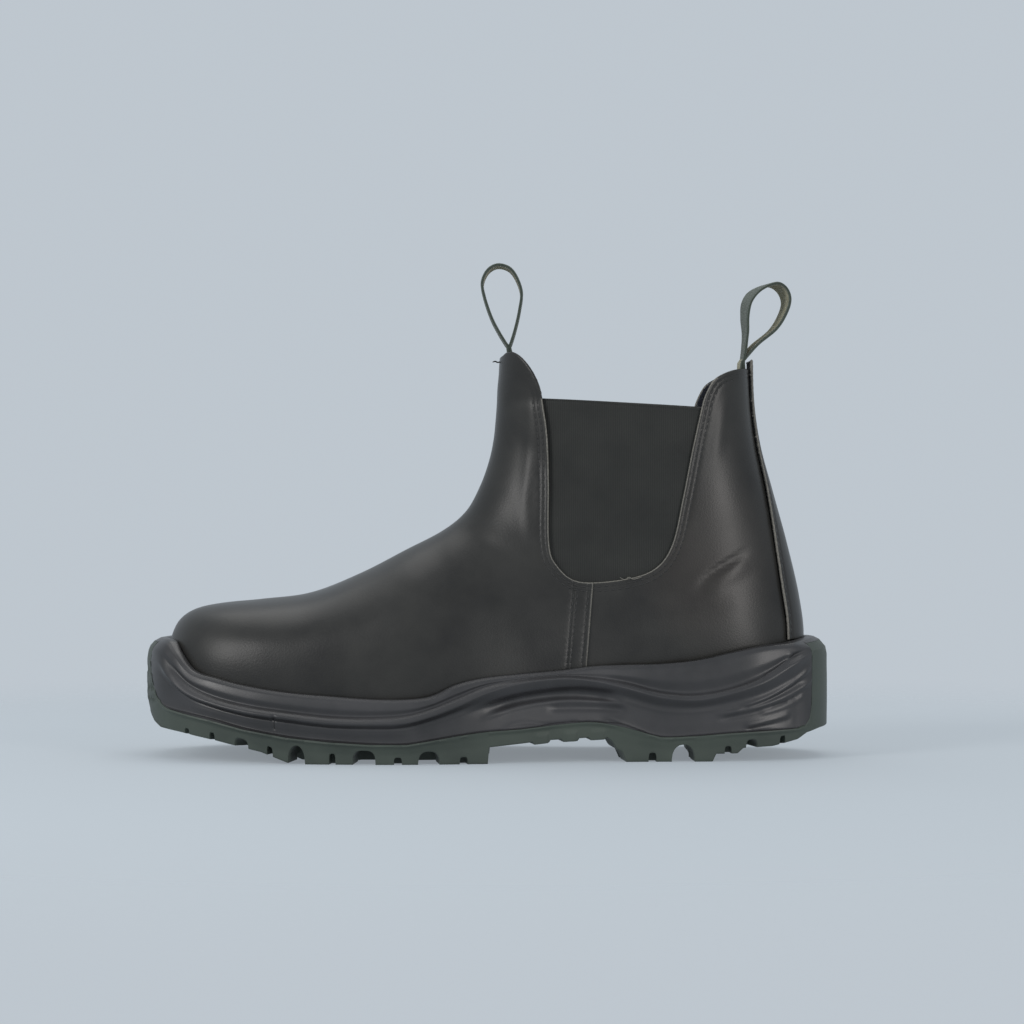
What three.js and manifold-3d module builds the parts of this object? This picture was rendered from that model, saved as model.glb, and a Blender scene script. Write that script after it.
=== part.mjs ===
// Side gore work boot for the left foot, empty and standing on its sole.
// Millimetres, +Z up. The toe points to -X, the outer (lateral) side is -Y, and the floor is Z = 0.
// The upper is a shell between two sizes of one last, and the sole is a cup around the same last.
import * as THREE from 'three';
import { mergeVertices } from 'three/addons/utils/BufferGeometryUtils.js';
import Module from 'manifold-3d';

const wasm = await Module();
wasm.setup();

// Driving dimensions of the boot.
const lastLength = 282;        // toe tip to heel back, over the leather
const ballWidth = 98;          // over the leather at the ball
const instepHeight = 108;      // floor to the bend between instep and shaft
const bootHeight = 178;        // floor to the top of the front tab
const heelSeat = 27;           // floor to the underside of the leather at the heel
const toePoint = 39.4;         // height of the toe's foremost point
const toeShift = 4;            // the toe point's offset to the inner side
const toeOverhang = 8.6;       // the sole in front of the leather of the toe
const heelOverhang = 11.4;     // the sole behind the leather of the heel
const soleWidth = 113;         // across the ball
const cupHeight = 50;          // floor to the sole's rim, near the toe and the heel
const sideRelief = 2;          // depth of a step in the sole's side

const soleLength = lastLength + toeOverhang + heelOverhang;
const soleToe = -soleLength / 2;
const toeX = soleToe + toeOverhang;

// Walls, clearances and steps.
const wall = 2.6;              // vamp leather with its lining
const seamStep = 1;            // the vamp stands this much proud of the quarters
const gap = 0.3;               // between pieces that touch
const lastingMargin = 12;      // width of the leather that turns in under the foot
const soleRim = 10;            // from the sole's outline in to the leather's inner face
const goreThickness = 1.6;
const goreHem = 8;             // hidden width of the gore behind the leather
const stripWidth = 36;         // back strip, at its foot
const stripThickness = 1.5;
const insoleThickness = 4;

// Gore, tab and collar: lengths follow the last, heights follow the boot.
const goreFront = toeX + 0.59 * lastLength;    // X of the gore's upper front corner
const goreLength = 0.2475 * lastLength;        // along its top edge
const goreDepth = 0.452 * bootHeight;
const goreTop = 0.8854 * bootHeight;           // height of its upper front corner
const tabLength = 0.0638 * lastLength;         // front of the collar to the gore
const tabRise = bootHeight - goreTop;
const quarterLength = 0.0862 * lastLength;     // gore to the back of the collar
const quarterRise = 0.101 * bootHeight;
const seamFront = toeX + 0.6557 * lastLength;  // X of the vamp's rear edge at the sole
const seamLean = 0.0142 * lastLength;          // how far it leans back up to the gore

// Pull loops of woven webbing.
const webbingThickness = 1.3;
const loopWidth = 18;
const tailDepth = 24;
const frontLoopHeight = 39.2;
const frontLoopBulge = 18.9;
const frontLoopSeat = 4.2;     // from the front of the tab back to the loop
const backLoopHeight = 38.5;
const backLoopBulge = 21.3;
const backLoopSeat = 5.7;      // from the back of the collar forward to the loop
const backLoopTurn = 5.5;      // degrees about the vertical
const frontTailRise = 1.2;     // the tail's top above the collar
const backTailRise = 2.4;

// Lugs of the outsole.
const lugGap = 10;
const lugDepth = 8;
const lugReach = 24;
const channelWidth = 4.5;
const channelDepth = 3.2;
const chevronArm = 16;
const ribDrop = 1.2;
const ribWidth = 6;

// Faces around and along the curved pieces.
const lastColumns = 26;
const sectionStep = 12;
const outlineFaces = 60;
const loopFaces = 24;

// A table is an array of rows, each turned into an object by its column names.
function table(columns, rows) {
  return rows.map((row) => Object.fromEntries(columns.map((name, i) => [name, row[i]])));
}

// Sections of the last from toe to collar, each in a plane through a point on its upper outline and one
// on its lower outline. along: shares of lastLength from the toe. topRise: 0 to 1 is floor to instep,
// 1 to 2 instep to collar. backRise: 0 to 1 is floor to heel seat, 1 to 2 heel seat to collar.
// lateral and medial: shares of ballWidth. widest: where the section is widest, as a share of its
// height. low and high: how square the section is below and above that.
const lastSections = table(
  ['topAlong', 'topRise', 'backAlong', 'backRise', 'lateral', 'medial', 'widest', 'low', 'high'],
  [
    [0.004, 0.447, 0.004, 1.026, 0.071, 0.153, 0.46, 2.2, 2.0],
    [0.018, 0.543, 0.018, 0.919, 0.184, 0.265, 0.42, 2.6, 2.2],
    [0.043, 0.594, 0.043, 0.785, 0.286, 0.357, 0.40, 3.2, 2.4],
    [0.085, 0.620, 0.085, 0.704, 0.372, 0.423, 0.36, 3.8, 2.5],
    [0.149, 0.637, 0.149, 0.644, 0.437, 0.469, 0.33, 4.4, 2.5],
    [0.227, 0.664, 0.227, 0.611, 0.480, 0.493, 0.30, 4.8, 2.4],
    [0.306, 0.744, 0.312, 0.604, 0.503, 0.492, 0.28, 4.8, 2.2],
    [0.377, 0.839, 0.401, 0.656, 0.510, 0.459, 0.27, 4.6, 2.05],
    [0.437, 0.921, 0.503, 0.785, 0.485, 0.418, 0.26, 4.4, 1.95],
    [0.473, 1.000, 0.614, 0.919, 0.434, 0.383, 0.28, 4.2, 1.9],
    [0.495, 1.160, 0.720, 0.981, 0.398, 0.367, 0.31, 4.0, 1.95],
    [0.509, 1.319, 0.826, 1.003, 0.378, 0.362, 0.35, 3.8, 2.05],
    [0.516, 1.452, 0.924, 1.009, 0.362, 0.357, 0.40, 3.3, 2.15],
    [0.519, 1.566, 0.984, 1.050, 0.352, 0.352, 0.44, 2.7, 2.2],
    [0.521, 1.675, 1.001, 1.156, 0.349, 0.349, 0.48, 2.4, 2.25],
    [0.522, 1.771, 0.995, 1.279, 0.347, 0.347, 0.50, 2.35, 2.25],
    [0.524, 1.860, 0.975, 1.442, 0.343, 0.343, 0.50, 2.4, 2.3],
    [0.525, 1.936, 0.952, 1.598, 0.342, 0.342, 0.50, 2.5, 2.35],
    [0.527, 2.006, 0.933, 1.730, 0.342, 0.342, 0.50, 2.6, 2.4],
    [0.529, 2.070, 0.923, 1.863, 0.345, 0.345, 0.50, 2.7, 2.4],
    [0.533, 2.200, 0.921, 2.060, 0.349, 0.349, 0.50, 2.7, 2.4],
  ],
);

// The sole from above. along: share of soleLength. lateral and medial: shares of soleWidth.
const solePlan = table(['along', 'lateral', 'medial'], [
  [0.010, 0.120, 0.195],
  [0.033, 0.243, 0.315],
  [0.083, 0.362, 0.415],
  [0.166, 0.444, 0.466],
  [0.281, 0.491, 0.487],
  [0.381, 0.504, 0.465],
  [0.497, 0.469, 0.403],
  [0.613, 0.412, 0.362],
  [0.712, 0.376, 0.352],
  [0.811, 0.363, 0.358],
  [0.894, 0.341, 0.341],
  [0.954, 0.274, 0.274],
  [0.987, 0.168, 0.168],
]);

// Heights of the lines along the sole's side, as shares of cupHeight. rim: its top against the leather.
// hollow and ridge: the groove and the bead under the rim. lip: the ledge where the outsole begins.
const sideLines = table(['along', 'lip', 'ridge', 'hollow', 'rim'], [
  [0.000, 0.520, 0.860, 0.930, 1.020],
  [0.028, 0.500, 0.830, 0.910, 1.010],
  [0.045, 0.448, 0.720, 0.810, 0.920],
  [0.072, 0.412, 0.596, 0.670, 0.770],
  [0.110, 0.366, 0.512, 0.574, 0.704],
  [0.160, 0.292, 0.442, 0.504, 0.638],
  [0.220, 0.230, 0.396, 0.456, 0.588],
  [0.280, 0.194, 0.356, 0.420, 0.560],
  [0.340, 0.174, 0.348, 0.412, 0.536],
  [0.390, 0.174, 0.360, 0.432, 0.536],
  [0.425, 0.208, 0.416, 0.488, 0.564],
  [0.460, 0.244, 0.496, 0.572, 0.660],
  [0.500, 0.276, 0.600, 0.664, 0.716],
  [0.550, 0.296, 0.680, 0.716, 0.746],
  [0.610, 0.336, 0.716, 0.748, 0.776],
  [0.655, 0.348, 0.692, 0.732, 0.808],
  [0.700, 0.300, 0.632, 0.692, 0.816],
  [0.750, 0.216, 0.552, 0.620, 0.824],
  [0.800, 0.224, 0.530, 0.600, 0.852],
  [0.850, 0.248, 0.584, 0.652, 0.916],
  [0.900, 0.264, 0.684, 0.760, 0.972],
  [0.940, 0.276, 0.820, 0.888, 0.992],
  [0.970, 0.284, 0.908, 0.952, 1.012],
  [1.000, 0.288, 0.920, 0.960, 1.036],
]);

// Rails around the sole. Each lies between two lines at a share of the way, raised by a little, and
// stands out from the plan outline by its own amount at the toe and heel ends, under the forefoot,
// along the arch and around the heel. raise and the four amounts are shares of sideRelief.
const sideRails = table(['from', 'to', 'share', 'raise', 'ends', 'front', 'arch', 'heel'], [
  ['floor', 'lip', 0.00, -1.50, -1.50, -0.60, -0.80, -0.60],
  ['floor', 'lip', 0.50, 0.00, -0.80, -0.25, -0.50, -0.25],
  ['floor', 'lip', 1.00, -0.80, -0.20, 0.15, -0.25, 0.15],
  ['floor', 'lip', 1.00, 0.00, 0.00, 0.35, 0.05, 0.35],
  ['floor', 'lip', 1.00, 0.35, 0.00, -0.45, -0.70, -0.45],
  ['lip', 'ridge', 0.32, 0.00, 0.05, -0.65, -1.20, -0.55],
  ['lip', 'ridge', 0.42, 0.00, 0.05, -0.65, -1.30, 0.15],
  ['lip', 'ridge', 0.56, 0.00, 0.05, -0.65, -1.80, -0.60],
  ['lip', 'ridge', 0.66, 0.00, 0.05, -0.60, -1.70, 0.15],
  ['lip', 'ridge', 0.80, 0.00, 0.00, -0.50, -0.45, -0.50],
  ['lip', 'ridge', 1.00, 0.00, 0.00, 0.60, 0.35, 0.50],
  ['ridge', 'hollow', 0.50, 0.00, -0.15, 0.10, 0.10, 0.00],
  ['ridge', 'hollow', 1.00, 0.00, -0.30, -0.90, -0.70, -0.95],
  ['hollow', 'rim', 0.40, 0.00, -0.70, -0.65, -0.70, -0.60],
  ['hollow', 'rim', 0.85, 0.00, -1.70, -1.00, -0.90, -0.90],
  ['hollow', 'rim', 1.00, 0.30, -2.80, -1.70, -1.40, -1.50],
]);

// The underside from toe to heel, its heights as shares of cupHeight: toe spring, forefoot, arch, heel
// breast and the bevelled heel back.
const groundLine = table(['along', 'height'], [
  [-0.020, 0.600],
  [0.001, 0.520],
  [0.008, 0.390],
  [0.018, 0.320],
  [0.030, 0.276],
  [0.064, 0.248],
  [0.118, 0.188],
  [0.150, 0.144],
  [0.182, 0.100],
  [0.225, 0.000],
  [0.504, 0.000],
  [0.506, 0.142],
  [0.549, 0.168],
  [0.591, 0.196],
  [0.672, 0.220],
  [0.681, 0.176],
  [0.687, 0.112],
  [0.695, 0.088],
  [0.701, 0.000],
  [0.824, 0.000],
  [0.829, 0.066],
  [0.860, 0.070],
  [0.868, 0.116],
  [0.911, 0.128],
  [0.948, 0.180],
  [0.962, 0.232],
  [0.985, 0.266],
  [1.020, 0.284],
]);
const heelBreast = 0.672;

// The ledge between outsole and midsole turns up at both ends, where the outsole wraps the toe as a
// bumper and climbs the back of the heel. Heights are shares of cupHeight.
const toeWrap = table(['along', 'height'], [
  [0.011, 1.200],
  [0.012, 0.840],
  [0.016, 0.680],
  [0.024, 0.552],
  [0.036, 0.472],
]);
const heelWrap = table(['along', 'height'], [
  [0.960, 0.304],
  [0.967, 0.380],
  [0.970, 0.520],
  [0.970, 1.200],
]);

// Lug gaps around the edge. along: share of soleLength. width, depth and reach: shares of lugGap,
// lugDepth and lugReach. The one that runs right through the heel reaches past the middle.
const lugGaps = table(['along', 'width', 'depth', 'reach'], [
  [0.073, 0.25, 0.28, 0.30],
  [0.111, 0.25, 0.38, 0.32],
  [0.154, 0.62, 0.46, 0.75],
  [0.195, 0.26, 0.48, 0.34],
  [0.233, 0.70, 1.00, 0.95],
  [0.284, 0.28, 0.58, 0.34],
  [0.329, 0.98, 0.76, 1.00],
  [0.377, 0.34, 0.38, 0.34],
  [0.421, 0.88, 0.66, 0.95],
  [0.470, 0.34, 0.38, 0.34],
  [0.738, 0.34, 0.48, 0.34],
  [0.782, 0.96, 0.92, 2.10],
  [0.846, 0.30, 0.40, 0.34],
  [0.880, 0.50, 0.44, 0.60],
  [0.925, 0.26, 0.42, 0.34],
]);
const chevrons = [0.262, 0.300, 0.338, 0.376, 0.414, 0.452];
const archRibs = [0.580, 0.621, 0.660];

// The gore's edge, down its front, along its foot and up its rear.
const goreEdge = table(['along', 'drop'], [
  [0.000, 0.000],
  [0.034, 0.190],
  [0.047, 0.450],
  [0.049, 0.790],
  [0.098, 0.910],
  [0.230, 0.995],
  [0.500, 0.985],
  [0.700, 0.930],
  [0.812, 0.800],
  [0.880, 0.550],
  [0.940, 0.290],
  [1.000, 0.060],
]);
// The front tab's edge, back to the gore, and the quarter's, from the gore to the back seam.
const tabEdge = table(['along', 'rise'], [
  [-0.30, 0.92],
  [0.00, 0.92],
  [0.14, 0.99],
  [0.32, 0.98],
  [0.54, 0.84],
  [0.78, 0.56],
  [0.95, 0.24],
  [1.00, 0.00],
]);
const quarterEdge = table(['along', 'rise'], [
  [0.00, 0.00],
  [0.06, 0.28],
  [0.19, 0.62],
  [0.34, 0.79],
  [0.62, 0.94],
  [1.00, 1.00],
  [1.60, 1.00],
]);

// The back strip from behind. rise: 0 to 1 is from cupHeight to bootHeight. half: half its width there,
// as a share of stripWidth.
const stripEdge = table(['rise', 'half'], [
  [0.014, 0.500],
  [0.207, 0.494],
  [0.388, 0.433],
  [0.555, 0.344],
  [0.694, 0.278],
  [0.861, 0.250],
  [0.976, 0.258],
]);

// Outer outlines of the two loops from the side. across: share of the bulge, up: share of the height.
const frontLoop = table(['across', 'up'], [
  [0.00, 0.00],
  [-0.27, 0.21],
  [-0.46, 0.39],
  [-0.62, 0.62],
  [-0.67, 0.79],
  [-0.52, 0.94],
  [-0.24, 1.00],
  [0.09, 0.93],
  [0.31, 0.70],
  [0.27, 0.47],
  [0.15, 0.22],
]);
const backLoop = table(['across', 'up'], [
  [0.02, 0.04],
  [0.07, 0.22],
  [0.10, 0.42],
  [0.09, 0.60],
  [0.14, 0.78],
  [0.34, 0.92],
  [0.70, 1.00],
  [0.93, 0.94],
  [1.03, 0.80],
  [0.95, 0.63],
  [0.73, 0.44],
  [0.32, 0.25],
]);

// Straight-line value of a table's column at one place along it.
function valueAt(rows, key, name, place) {
  const last = rows.length - 1;
  if (place <= rows[0][key]) return rows[0][name];
  if (place >= rows[last][key]) return rows[last][name];
  const i = rows.findIndex((row) => row[key] > place) - 1;
  const t = (place - rows[i][key]) / (rows[i + 1][key] - rows[i][key]);
  return rows[i][name] + t * (rows[i + 1][name] - rows[i][name]);
}

// Smooth curve through a table's column: a cubic between rows, its slopes from their neighbours.
function smoothAt(rows, key, name, place) {
  const last = rows.length - 1;
  const i = Math.min(Math.max(rows.findIndex((row) => row[key] > place) - 1, 0), last - 1);
  const at = place >= rows[last][key] ? last - 1 : i;
  const slope = (j) => {
    const a = rows[Math.max(j - 1, 0)];
    const b = rows[Math.min(j + 1, last)];
    return (b[name] - a[name]) / (b[key] - a[key]);
  };
  const from = rows[at];
  const to = rows[at + 1];
  const span = to[key] - from[key];
  const t = (place - from[key]) / span;
  const t2 = t * t;
  const t3 = t2 * t;
  return (2 * t3 - 3 * t2 + 1) * from[name] + (t3 - 2 * t2 + t) * span * slope(at)
    + (3 * t2 - 2 * t3) * to[name] + (t3 - t2) * span * slope(at + 1);
}

function smoothStep(low, high, value) {
  const t = Math.min(Math.max((value - low) / (high - low), 0), 1);
  return t * t * (3 - 2 * t);
}

// A closed mesh as a solid, turned right side out if its rings ran the other way.
function solidFrom(geometry) {
  geometry.deleteAttribute('normal');
  geometry.deleteAttribute('uv');
  const merged = mergeVertices(geometry, 1e-4);
  const points = new Float32Array(merged.attributes.position.array);
  const faces = new Uint32Array(merged.index.array);
  let volume = 0;
  const corner = (n) => new THREE.Vector3().fromArray(points, 3 * faces[n]);
  for (let n = 0; n < faces.length; n += 3) {
    volume += corner(n).dot(corner(n + 1).cross(corner(n + 2)));
  }
  if (volume < 0) {
    for (let n = 0; n < faces.length; n += 3) {
      [faces[n + 1], faces[n + 2]] = [faces[n + 2], faces[n + 1]];
    }
  }
  return new wasm.Manifold(new wasm.Mesh({ numProp: 3, vertProperties: points, triVerts: faces }));
}

// Rings of equal count joined into one closed body, each end closed by a fan to its middle.
function loft(rings) {
  const count = rings[0].length;
  const middle = (ring) => ring.reduce((sum, p) => sum.add(p), new THREE.Vector3()).divideScalar(count);
  const points = [...rings.flat(), middle(rings[0]), middle(rings[rings.length - 1])];
  const faces = [];
  const first = rings.length * count;
  for (let k = 0; k < count; k += 1) {
    const next = (k + 1) % count;
    for (let r = 0; r + 1 < rings.length; r += 1) {
      const a = r * count;
      const b = a + count;
      faces.push(a + k, a + next, b + next, a + k, b + next, b + k);
    }
    const top = (rings.length - 1) * count;
    faces.push(first, next, k, first + 1, top + k, top + next);
  }
  const geometry = new THREE.BufferGeometry().setFromPoints(points);
  geometry.setIndex(faces);
  return solidFrom(geometry);
}

// An outline pushed through the boot along one axis: 'across' reads it as X, Z and runs along Y,
// 'along' reads it as Y, Z and runs along X, 'up' reads it as X, Y and runs along Z.
function prism(outline, direction, from, to) {
  const shape = new THREE.Shape(outline.map(([a, b]) => new THREE.Vector2(a, b)));
  const geometry = new THREE.ExtrudeGeometry(shape, { depth: to - from, bevelEnabled: false });
  const turn = new THREE.Matrix4();
  if (direction === 'across') {
    geometry.translate(0, 0, -to);
    turn.makeBasis(new THREE.Vector3(1, 0, 0), new THREE.Vector3(0, 0, 1), new THREE.Vector3(0, -1, 0));
  } else if (direction === 'along') {
    geometry.translate(0, 0, from);
    turn.makeBasis(new THREE.Vector3(0, 1, 0), new THREE.Vector3(0, 0, 1), new THREE.Vector3(1, 0, 0));
  } else {
    geometry.translate(0, 0, from);
  }
  geometry.applyMatrix4(turn);
  return solidFrom(geometry);
}

// A smooth line through a few points, as short straight steps.
function softLine(points, steps) {
  return new THREE.SplineCurve(points.map(([a, b]) => new THREE.Vector2(a, b)))
    .getPoints(steps)
    .map((p) => [p.x, p.y]);
}

// An open line moved sideways, to the left of its direction for a positive distance.
function offsetLine(points, distance) {
  return points.map(([x, z], i) => {
    const before = points[Math.max(i - 1, 0)];
    const after = points[Math.min(i + 1, points.length - 1)];
    const length = Math.hypot(after[0] - before[0], after[1] - before[1]);
    return [
      x - distance * (after[1] - before[1]) / length,
      z + distance * (after[0] - before[0]) / length,
    ];
  });
}

const topHeight = (rise) => (rise < 1
  ? rise * instepHeight
  : instepHeight + (rise - 1) * (bootHeight - instepHeight));
const backHeight = (rise) => (rise < 1
  ? rise * heelSeat
  : heelSeat + (rise - 1) * (bootHeight - heelSeat));

// The last's sections in millimetres, with the whole form grown outward by some distance.
function lastRows(grow) {
  const rows = lastSections.map((s) => ({
    topX: toeX + s.topAlong * lastLength,
    topZ: topHeight(s.topRise),
    backX: toeX + s.backAlong * lastLength,
    backZ: backHeight(s.backRise),
    centre: (s.medial - s.lateral) * ballWidth / 2,
    half: (s.medial + s.lateral) * ballWidth / 2,
    widest: s.widest,
    low: s.low,
    high: s.high,
  }));
  const first = rows[0];
  const pole = { ...first, topX: toeX, topZ: toePoint, backX: toeX, backZ: toePoint, centre: toeShift, half: 0 };
  const mirrored = {
    ...first,
    topX: first.backX,
    topZ: first.backZ,
    backX: first.topX,
    backZ: first.topZ,
    half: -first.half,
  };
  const all = [mirrored, pole, ...rows];
  const grown = all.map((row, i) => {
    const a = all[Math.max(i - 1, 0)];
    const b = all[Math.min(i + 1, all.length - 1)];
    const top = Math.hypot(b.topX - a.topX, b.topZ - a.topZ);
    const back = Math.hypot(b.backX - a.backX, b.backZ - a.backZ);
    return {
      ...row,
      topX: row.topX - grow * (b.topZ - a.topZ) / top,
      topZ: row.topZ + grow * (b.topX - a.topX) / top,
      backX: row.backX + grow * (b.backZ - a.backZ) / back,
      backZ: row.backZ - grow * (b.backX - a.backX) / back,
      half: row.half + grow * Math.sign(row.half),
    };
  });
  let travelled = 0;
  grown.forEach((row, i) => {
    if (i > 0) {
      const before = grown[i - 1];
      travelled += Math.hypot(row.topX - before.topX, row.topZ - before.topZ) / 2
        + Math.hypot(row.backX - before.backX, row.backZ - before.backZ) / 2;
    }
    row.travel = travelled;
  });
  return grown;
}

// One ring of the last: two half superellipses that meet where the section is widest.
function lastRing(row) {
  const points = [];
  for (let k = 0; k < lastColumns; k += 1) {
    const angle = 2 * Math.PI * k / lastColumns;
    const side = Math.cos(angle);
    const up = Math.sin(angle);
    const power = up > 0 ? row.high : row.low;
    const reach = (Math.abs(side) ** power + Math.abs(up) ** power) ** (-1 / power);
    const along = row.widest + reach * up * (up > 0 ? 1 - row.widest : row.widest);
    points.push(new THREE.Vector3(
      row.backX + along * (row.topX - row.backX),
      row.centre + row.half * reach * side,
      row.backZ + along * (row.topZ - row.backZ),
    ));
  }
  return points;
}

// The distances between sections of the last at its own size, so that every size has the same rings.
const sectionSpans = lastRows(0).map((row, i, rows) => (rows[i + 1] || row).travel - row.travel);

// The whole last as a solid, grown or shrunk.
function lastSolid(grow) {
  const rows = lastRows(grow);
  const names = Object.keys(rows[0]).filter((name) => name !== 'travel');
  const rings = [];
  for (let i = 1; i + 1 < rows.length; i += 1) {
    const span = rows[i + 1].travel - rows[i].travel;
    const steps = Math.max(Math.round(sectionSpans[i] / sectionStep), 1);
    for (let step = 0; step < steps; step += 1) {
      if (i > 1 || step > 0) {
        const place = rows[i].travel + span * step / steps;
        const values = names.map((name) => [name, smoothAt(rows, 'travel', name, place)]);
        rings.push(lastRing(Object.fromEntries(values)));
      }
    }
  }
  rings.push(lastRing(rows[rows.length - 1]));
  const pole = rows[1];
  const tip = new THREE.Vector3(pole.topX, pole.centre, pole.topZ);
  rings.unshift(rings[0].map((p) => p.clone().lerp(tip, 1)));
  return loft(rings);
}

const farOut = 2 * soleLength;

// The region in front of the vamp's rear edge.
function vampRegion(grow) {
  const foot = seamFront + grow;
  return prism([
    [-farOut, -farOut],
    [foot, -farOut],
    [foot, heelSeat],
    [foot + seamLean, goreTop - goreDepth],
    [foot + seamLean, farOut],
    [-farOut, farOut],
  ], 'across', -farOut, farOut);
}

// The upper's outer form: the vamp at full size, the quarters one step lower behind its edge.
function upperForm(grow) {
  return lastSolid(grow).intersect(vampRegion(grow)).add(lastSolid(grow - seamStep));
}

const goreOutline = softLine(
  goreEdge.map((p) => [goreFront + p.along * goreLength, goreTop - p.drop * goreDepth]),
  28,
);
const quarterStart = goreOutline[goreOutline.length - 1];
const tabOutline = tabEdge.map((p) => [goreFront + (p.along - 1) * tabLength, goreTop + p.rise * tabRise]);
const quarterOutline = quarterEdge.map((p) => [
  quarterStart[0] + p.along * quarterLength,
  quarterStart[1] + p.rise * quarterRise,
]);
const collarBack = quarterOutline[quarterOutline.length - 1][1];

// What is cut from the shell above the collar line and through both side gores.
function collarCut() {
  return prism([
    [-farOut, tabOutline[0][1]],
    ...tabOutline.slice(0, -1),
    ...goreOutline,
    ...quarterOutline.slice(1),
    [farOut, collarBack],
    [farOut, farOut],
    [-farOut, farOut],
  ], 'across', -farOut, farOut);
}

// The sole's outline from above, with outward directions, as a closed smooth curve.
function soleOutline(count) {
  const place = (along, side) => new THREE.Vector3(soleToe + along * soleLength, side * soleWidth, 0);
  const lateral = solePlan.map((row) => place(row.along, -row.lateral));
  const medial = solePlan.map((row) => place(row.along, row.medial)).reverse();
  const tip = new THREE.Vector3(soleToe, toeShift, 0);
  const curve = new THREE.CatmullRomCurve3([tip, ...lateral, place(1, 0), ...medial], true, 'centripetal');
  curve.arcLengthDivisions = 800;
  const points = curve.getSpacedPoints(count).slice(0, count);
  return points.map((p, k) => {
    const before = points[(k + count - 1) % count];
    const after = points[(k + 1) % count];
    const out = new THREE.Vector2(after.y - before.y, before.x - after.x).normalize();
    return { x: p.x, y: p.y, outX: out.x, outY: out.y };
  });
}

const sharesAlong = (x) => (x - soleToe) / soleLength;
const lineHeight = (name, share) => (name === 'floor'
  ? 0
  : cupHeight * smoothAt(sideLines, 'along', name, share));
const groundAt = (share) => cupHeight * valueAt(groundLine, 'along', 'height', share);

// How far a rail stands out at one place, blended between the ends, forefoot, arch and heel.
function railOutset(rail, share) {
  const arch = smoothStep(0.46, 0.54, share) * (1 - smoothStep(0.66, 0.70, share));
  const heel = smoothStep(0.69, 0.74, share);
  const front = 1 - Math.min(arch + heel, 1);
  const side = rail.front * front + rail.arch * arch + rail.heel * heel;
  const ends = (1 - smoothStep(0.015, 0.060, share)) + smoothStep(0.945, 0.972, share);
  return sideRelief * (side + (rail.ends - side) * ends);
}

// The sole before it is trimmed: all rails around the outline, from under the floor to over the rim.
function soleBlock() {
  const outline = soleOutline(outlineFaces);
  const ringOf = (rail) => outline.map((p) => {
    const share = sharesAlong(p.x);
    const outset = railOutset(rail, share);
    const low = lineHeight(rail.from, share);
    const height = low + rail.share * (lineHeight(rail.to, share) - low) + rail.raise * sideRelief;
    return new THREE.Vector3(p.x + outset * p.outX, p.y + outset * p.outY, height);
  });
  const rings = sideRails.map(ringOf);
  const flatRing = (ring, height) => ring.map((p) => new THREE.Vector3(p.x, p.y, height));
  return loft([
    flatRing(rings[0], -soleRim),
    ...rings,
    flatRing(rings[rings.length - 1], 2 * cupHeight),
  ]);
}

// A line of the sole's side in millimetres, as X, Z.
const onSole = (rows, name) => rows.map((row) => [
  soleToe + row.along * soleLength,
  cupHeight * row[name],
]);

// The ledge line with its two turned-up ends, moved up and inward by some clearance.
function ledgeLine(clearance) {
  const between = sideLines.filter((row) => (
    row.along > toeWrap[toeWrap.length - 1].along && row.along < heelWrap[0].along
  ));
  return offsetLine(
    [...onSole(toeWrap, 'height'), ...onSole(between, 'lip'), ...onSole(heelWrap, 'height')],
    clearance,
  );
}

// The underside line with its shank ribs.
function undersideLine() {
  const rib = (along) => {
    const x = soleToe + along * soleLength;
    const z = groundAt(along);
    return [
      [x - ribWidth / 2 - ribDrop, z],
      [x - ribWidth / 2, z - ribDrop],
      [x + ribWidth / 2, z - ribDrop],
      [x + ribWidth / 2 + ribDrop, z],
    ];
  };
  const plain = groundLine.filter((row) => row.along < archRibs[0] || row.along >= heelBreast);
  const before = plain.filter((row) => row.along < archRibs[0]);
  const after = plain.filter((row) => row.along >= heelBreast);
  return [...onSole(before, 'height'), ...archRibs.flatMap(rib), ...onSole(after, 'height')];
}

// One lug gap, cut inward from the sole's edge at right angles to it.
function lugCut(outline, row) {
  const x = soleToe + row.along * soleLength;
  const nearest = outline.reduce((a, b) => (Math.abs(b.x - x) < Math.abs(a.x - x) ? b : a));
  const roof = groundAt(row.along) + row.depth * lugDepth;
  const half = row.width * lugGap / 2;
  const reach = row.reach * lugReach;
  const box = new THREE.BoxGeometry(2 * half, reach + soleRim, roof + soleRim);
  box.translate(0, (reach + soleRim) / 2 - soleRim, (roof + soleRim) / 2 - soleRim);
  box.rotateZ(Math.atan2(nearest.outX, -nearest.outY));
  box.translate(nearest.x, nearest.y, 0);
  return solidFrom(box);
}

// A channel between the edge lugs and the middle ones, and chevrons across the middle.
function treadCuts() {
  const outline = soleOutline(outlineFaces / 2);
  const inward = (depth) => outline.map((p) => [p.x - depth * p.outX, p.y - depth * p.outY]);
  const outer = prism(inward(lugReach - channelWidth), 'up', -soleRim, channelDepth);
  const inner = prism(inward(lugReach), 'up', -2 * soleRim, 2 * channelDepth);
  let cuts = outer.subtract(inner);
  for (const share of chevrons) {
    const x = soleToe + share * soleLength;
    const half = channelWidth / 2;
    const chevron = [
      [x - half, 0],
      [x - half + chevronArm / 2, -chevronArm],
      [x + half + chevronArm / 2, -chevronArm],
      [x + half, 0],
      [x + half + chevronArm / 2, chevronArm],
      [x - half + chevronArm / 2, chevronArm],
    ];
    cuts = cuts.add(prism(chevron, 'up', -soleRim, channelDepth));
  }
  return cuts;
}

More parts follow.
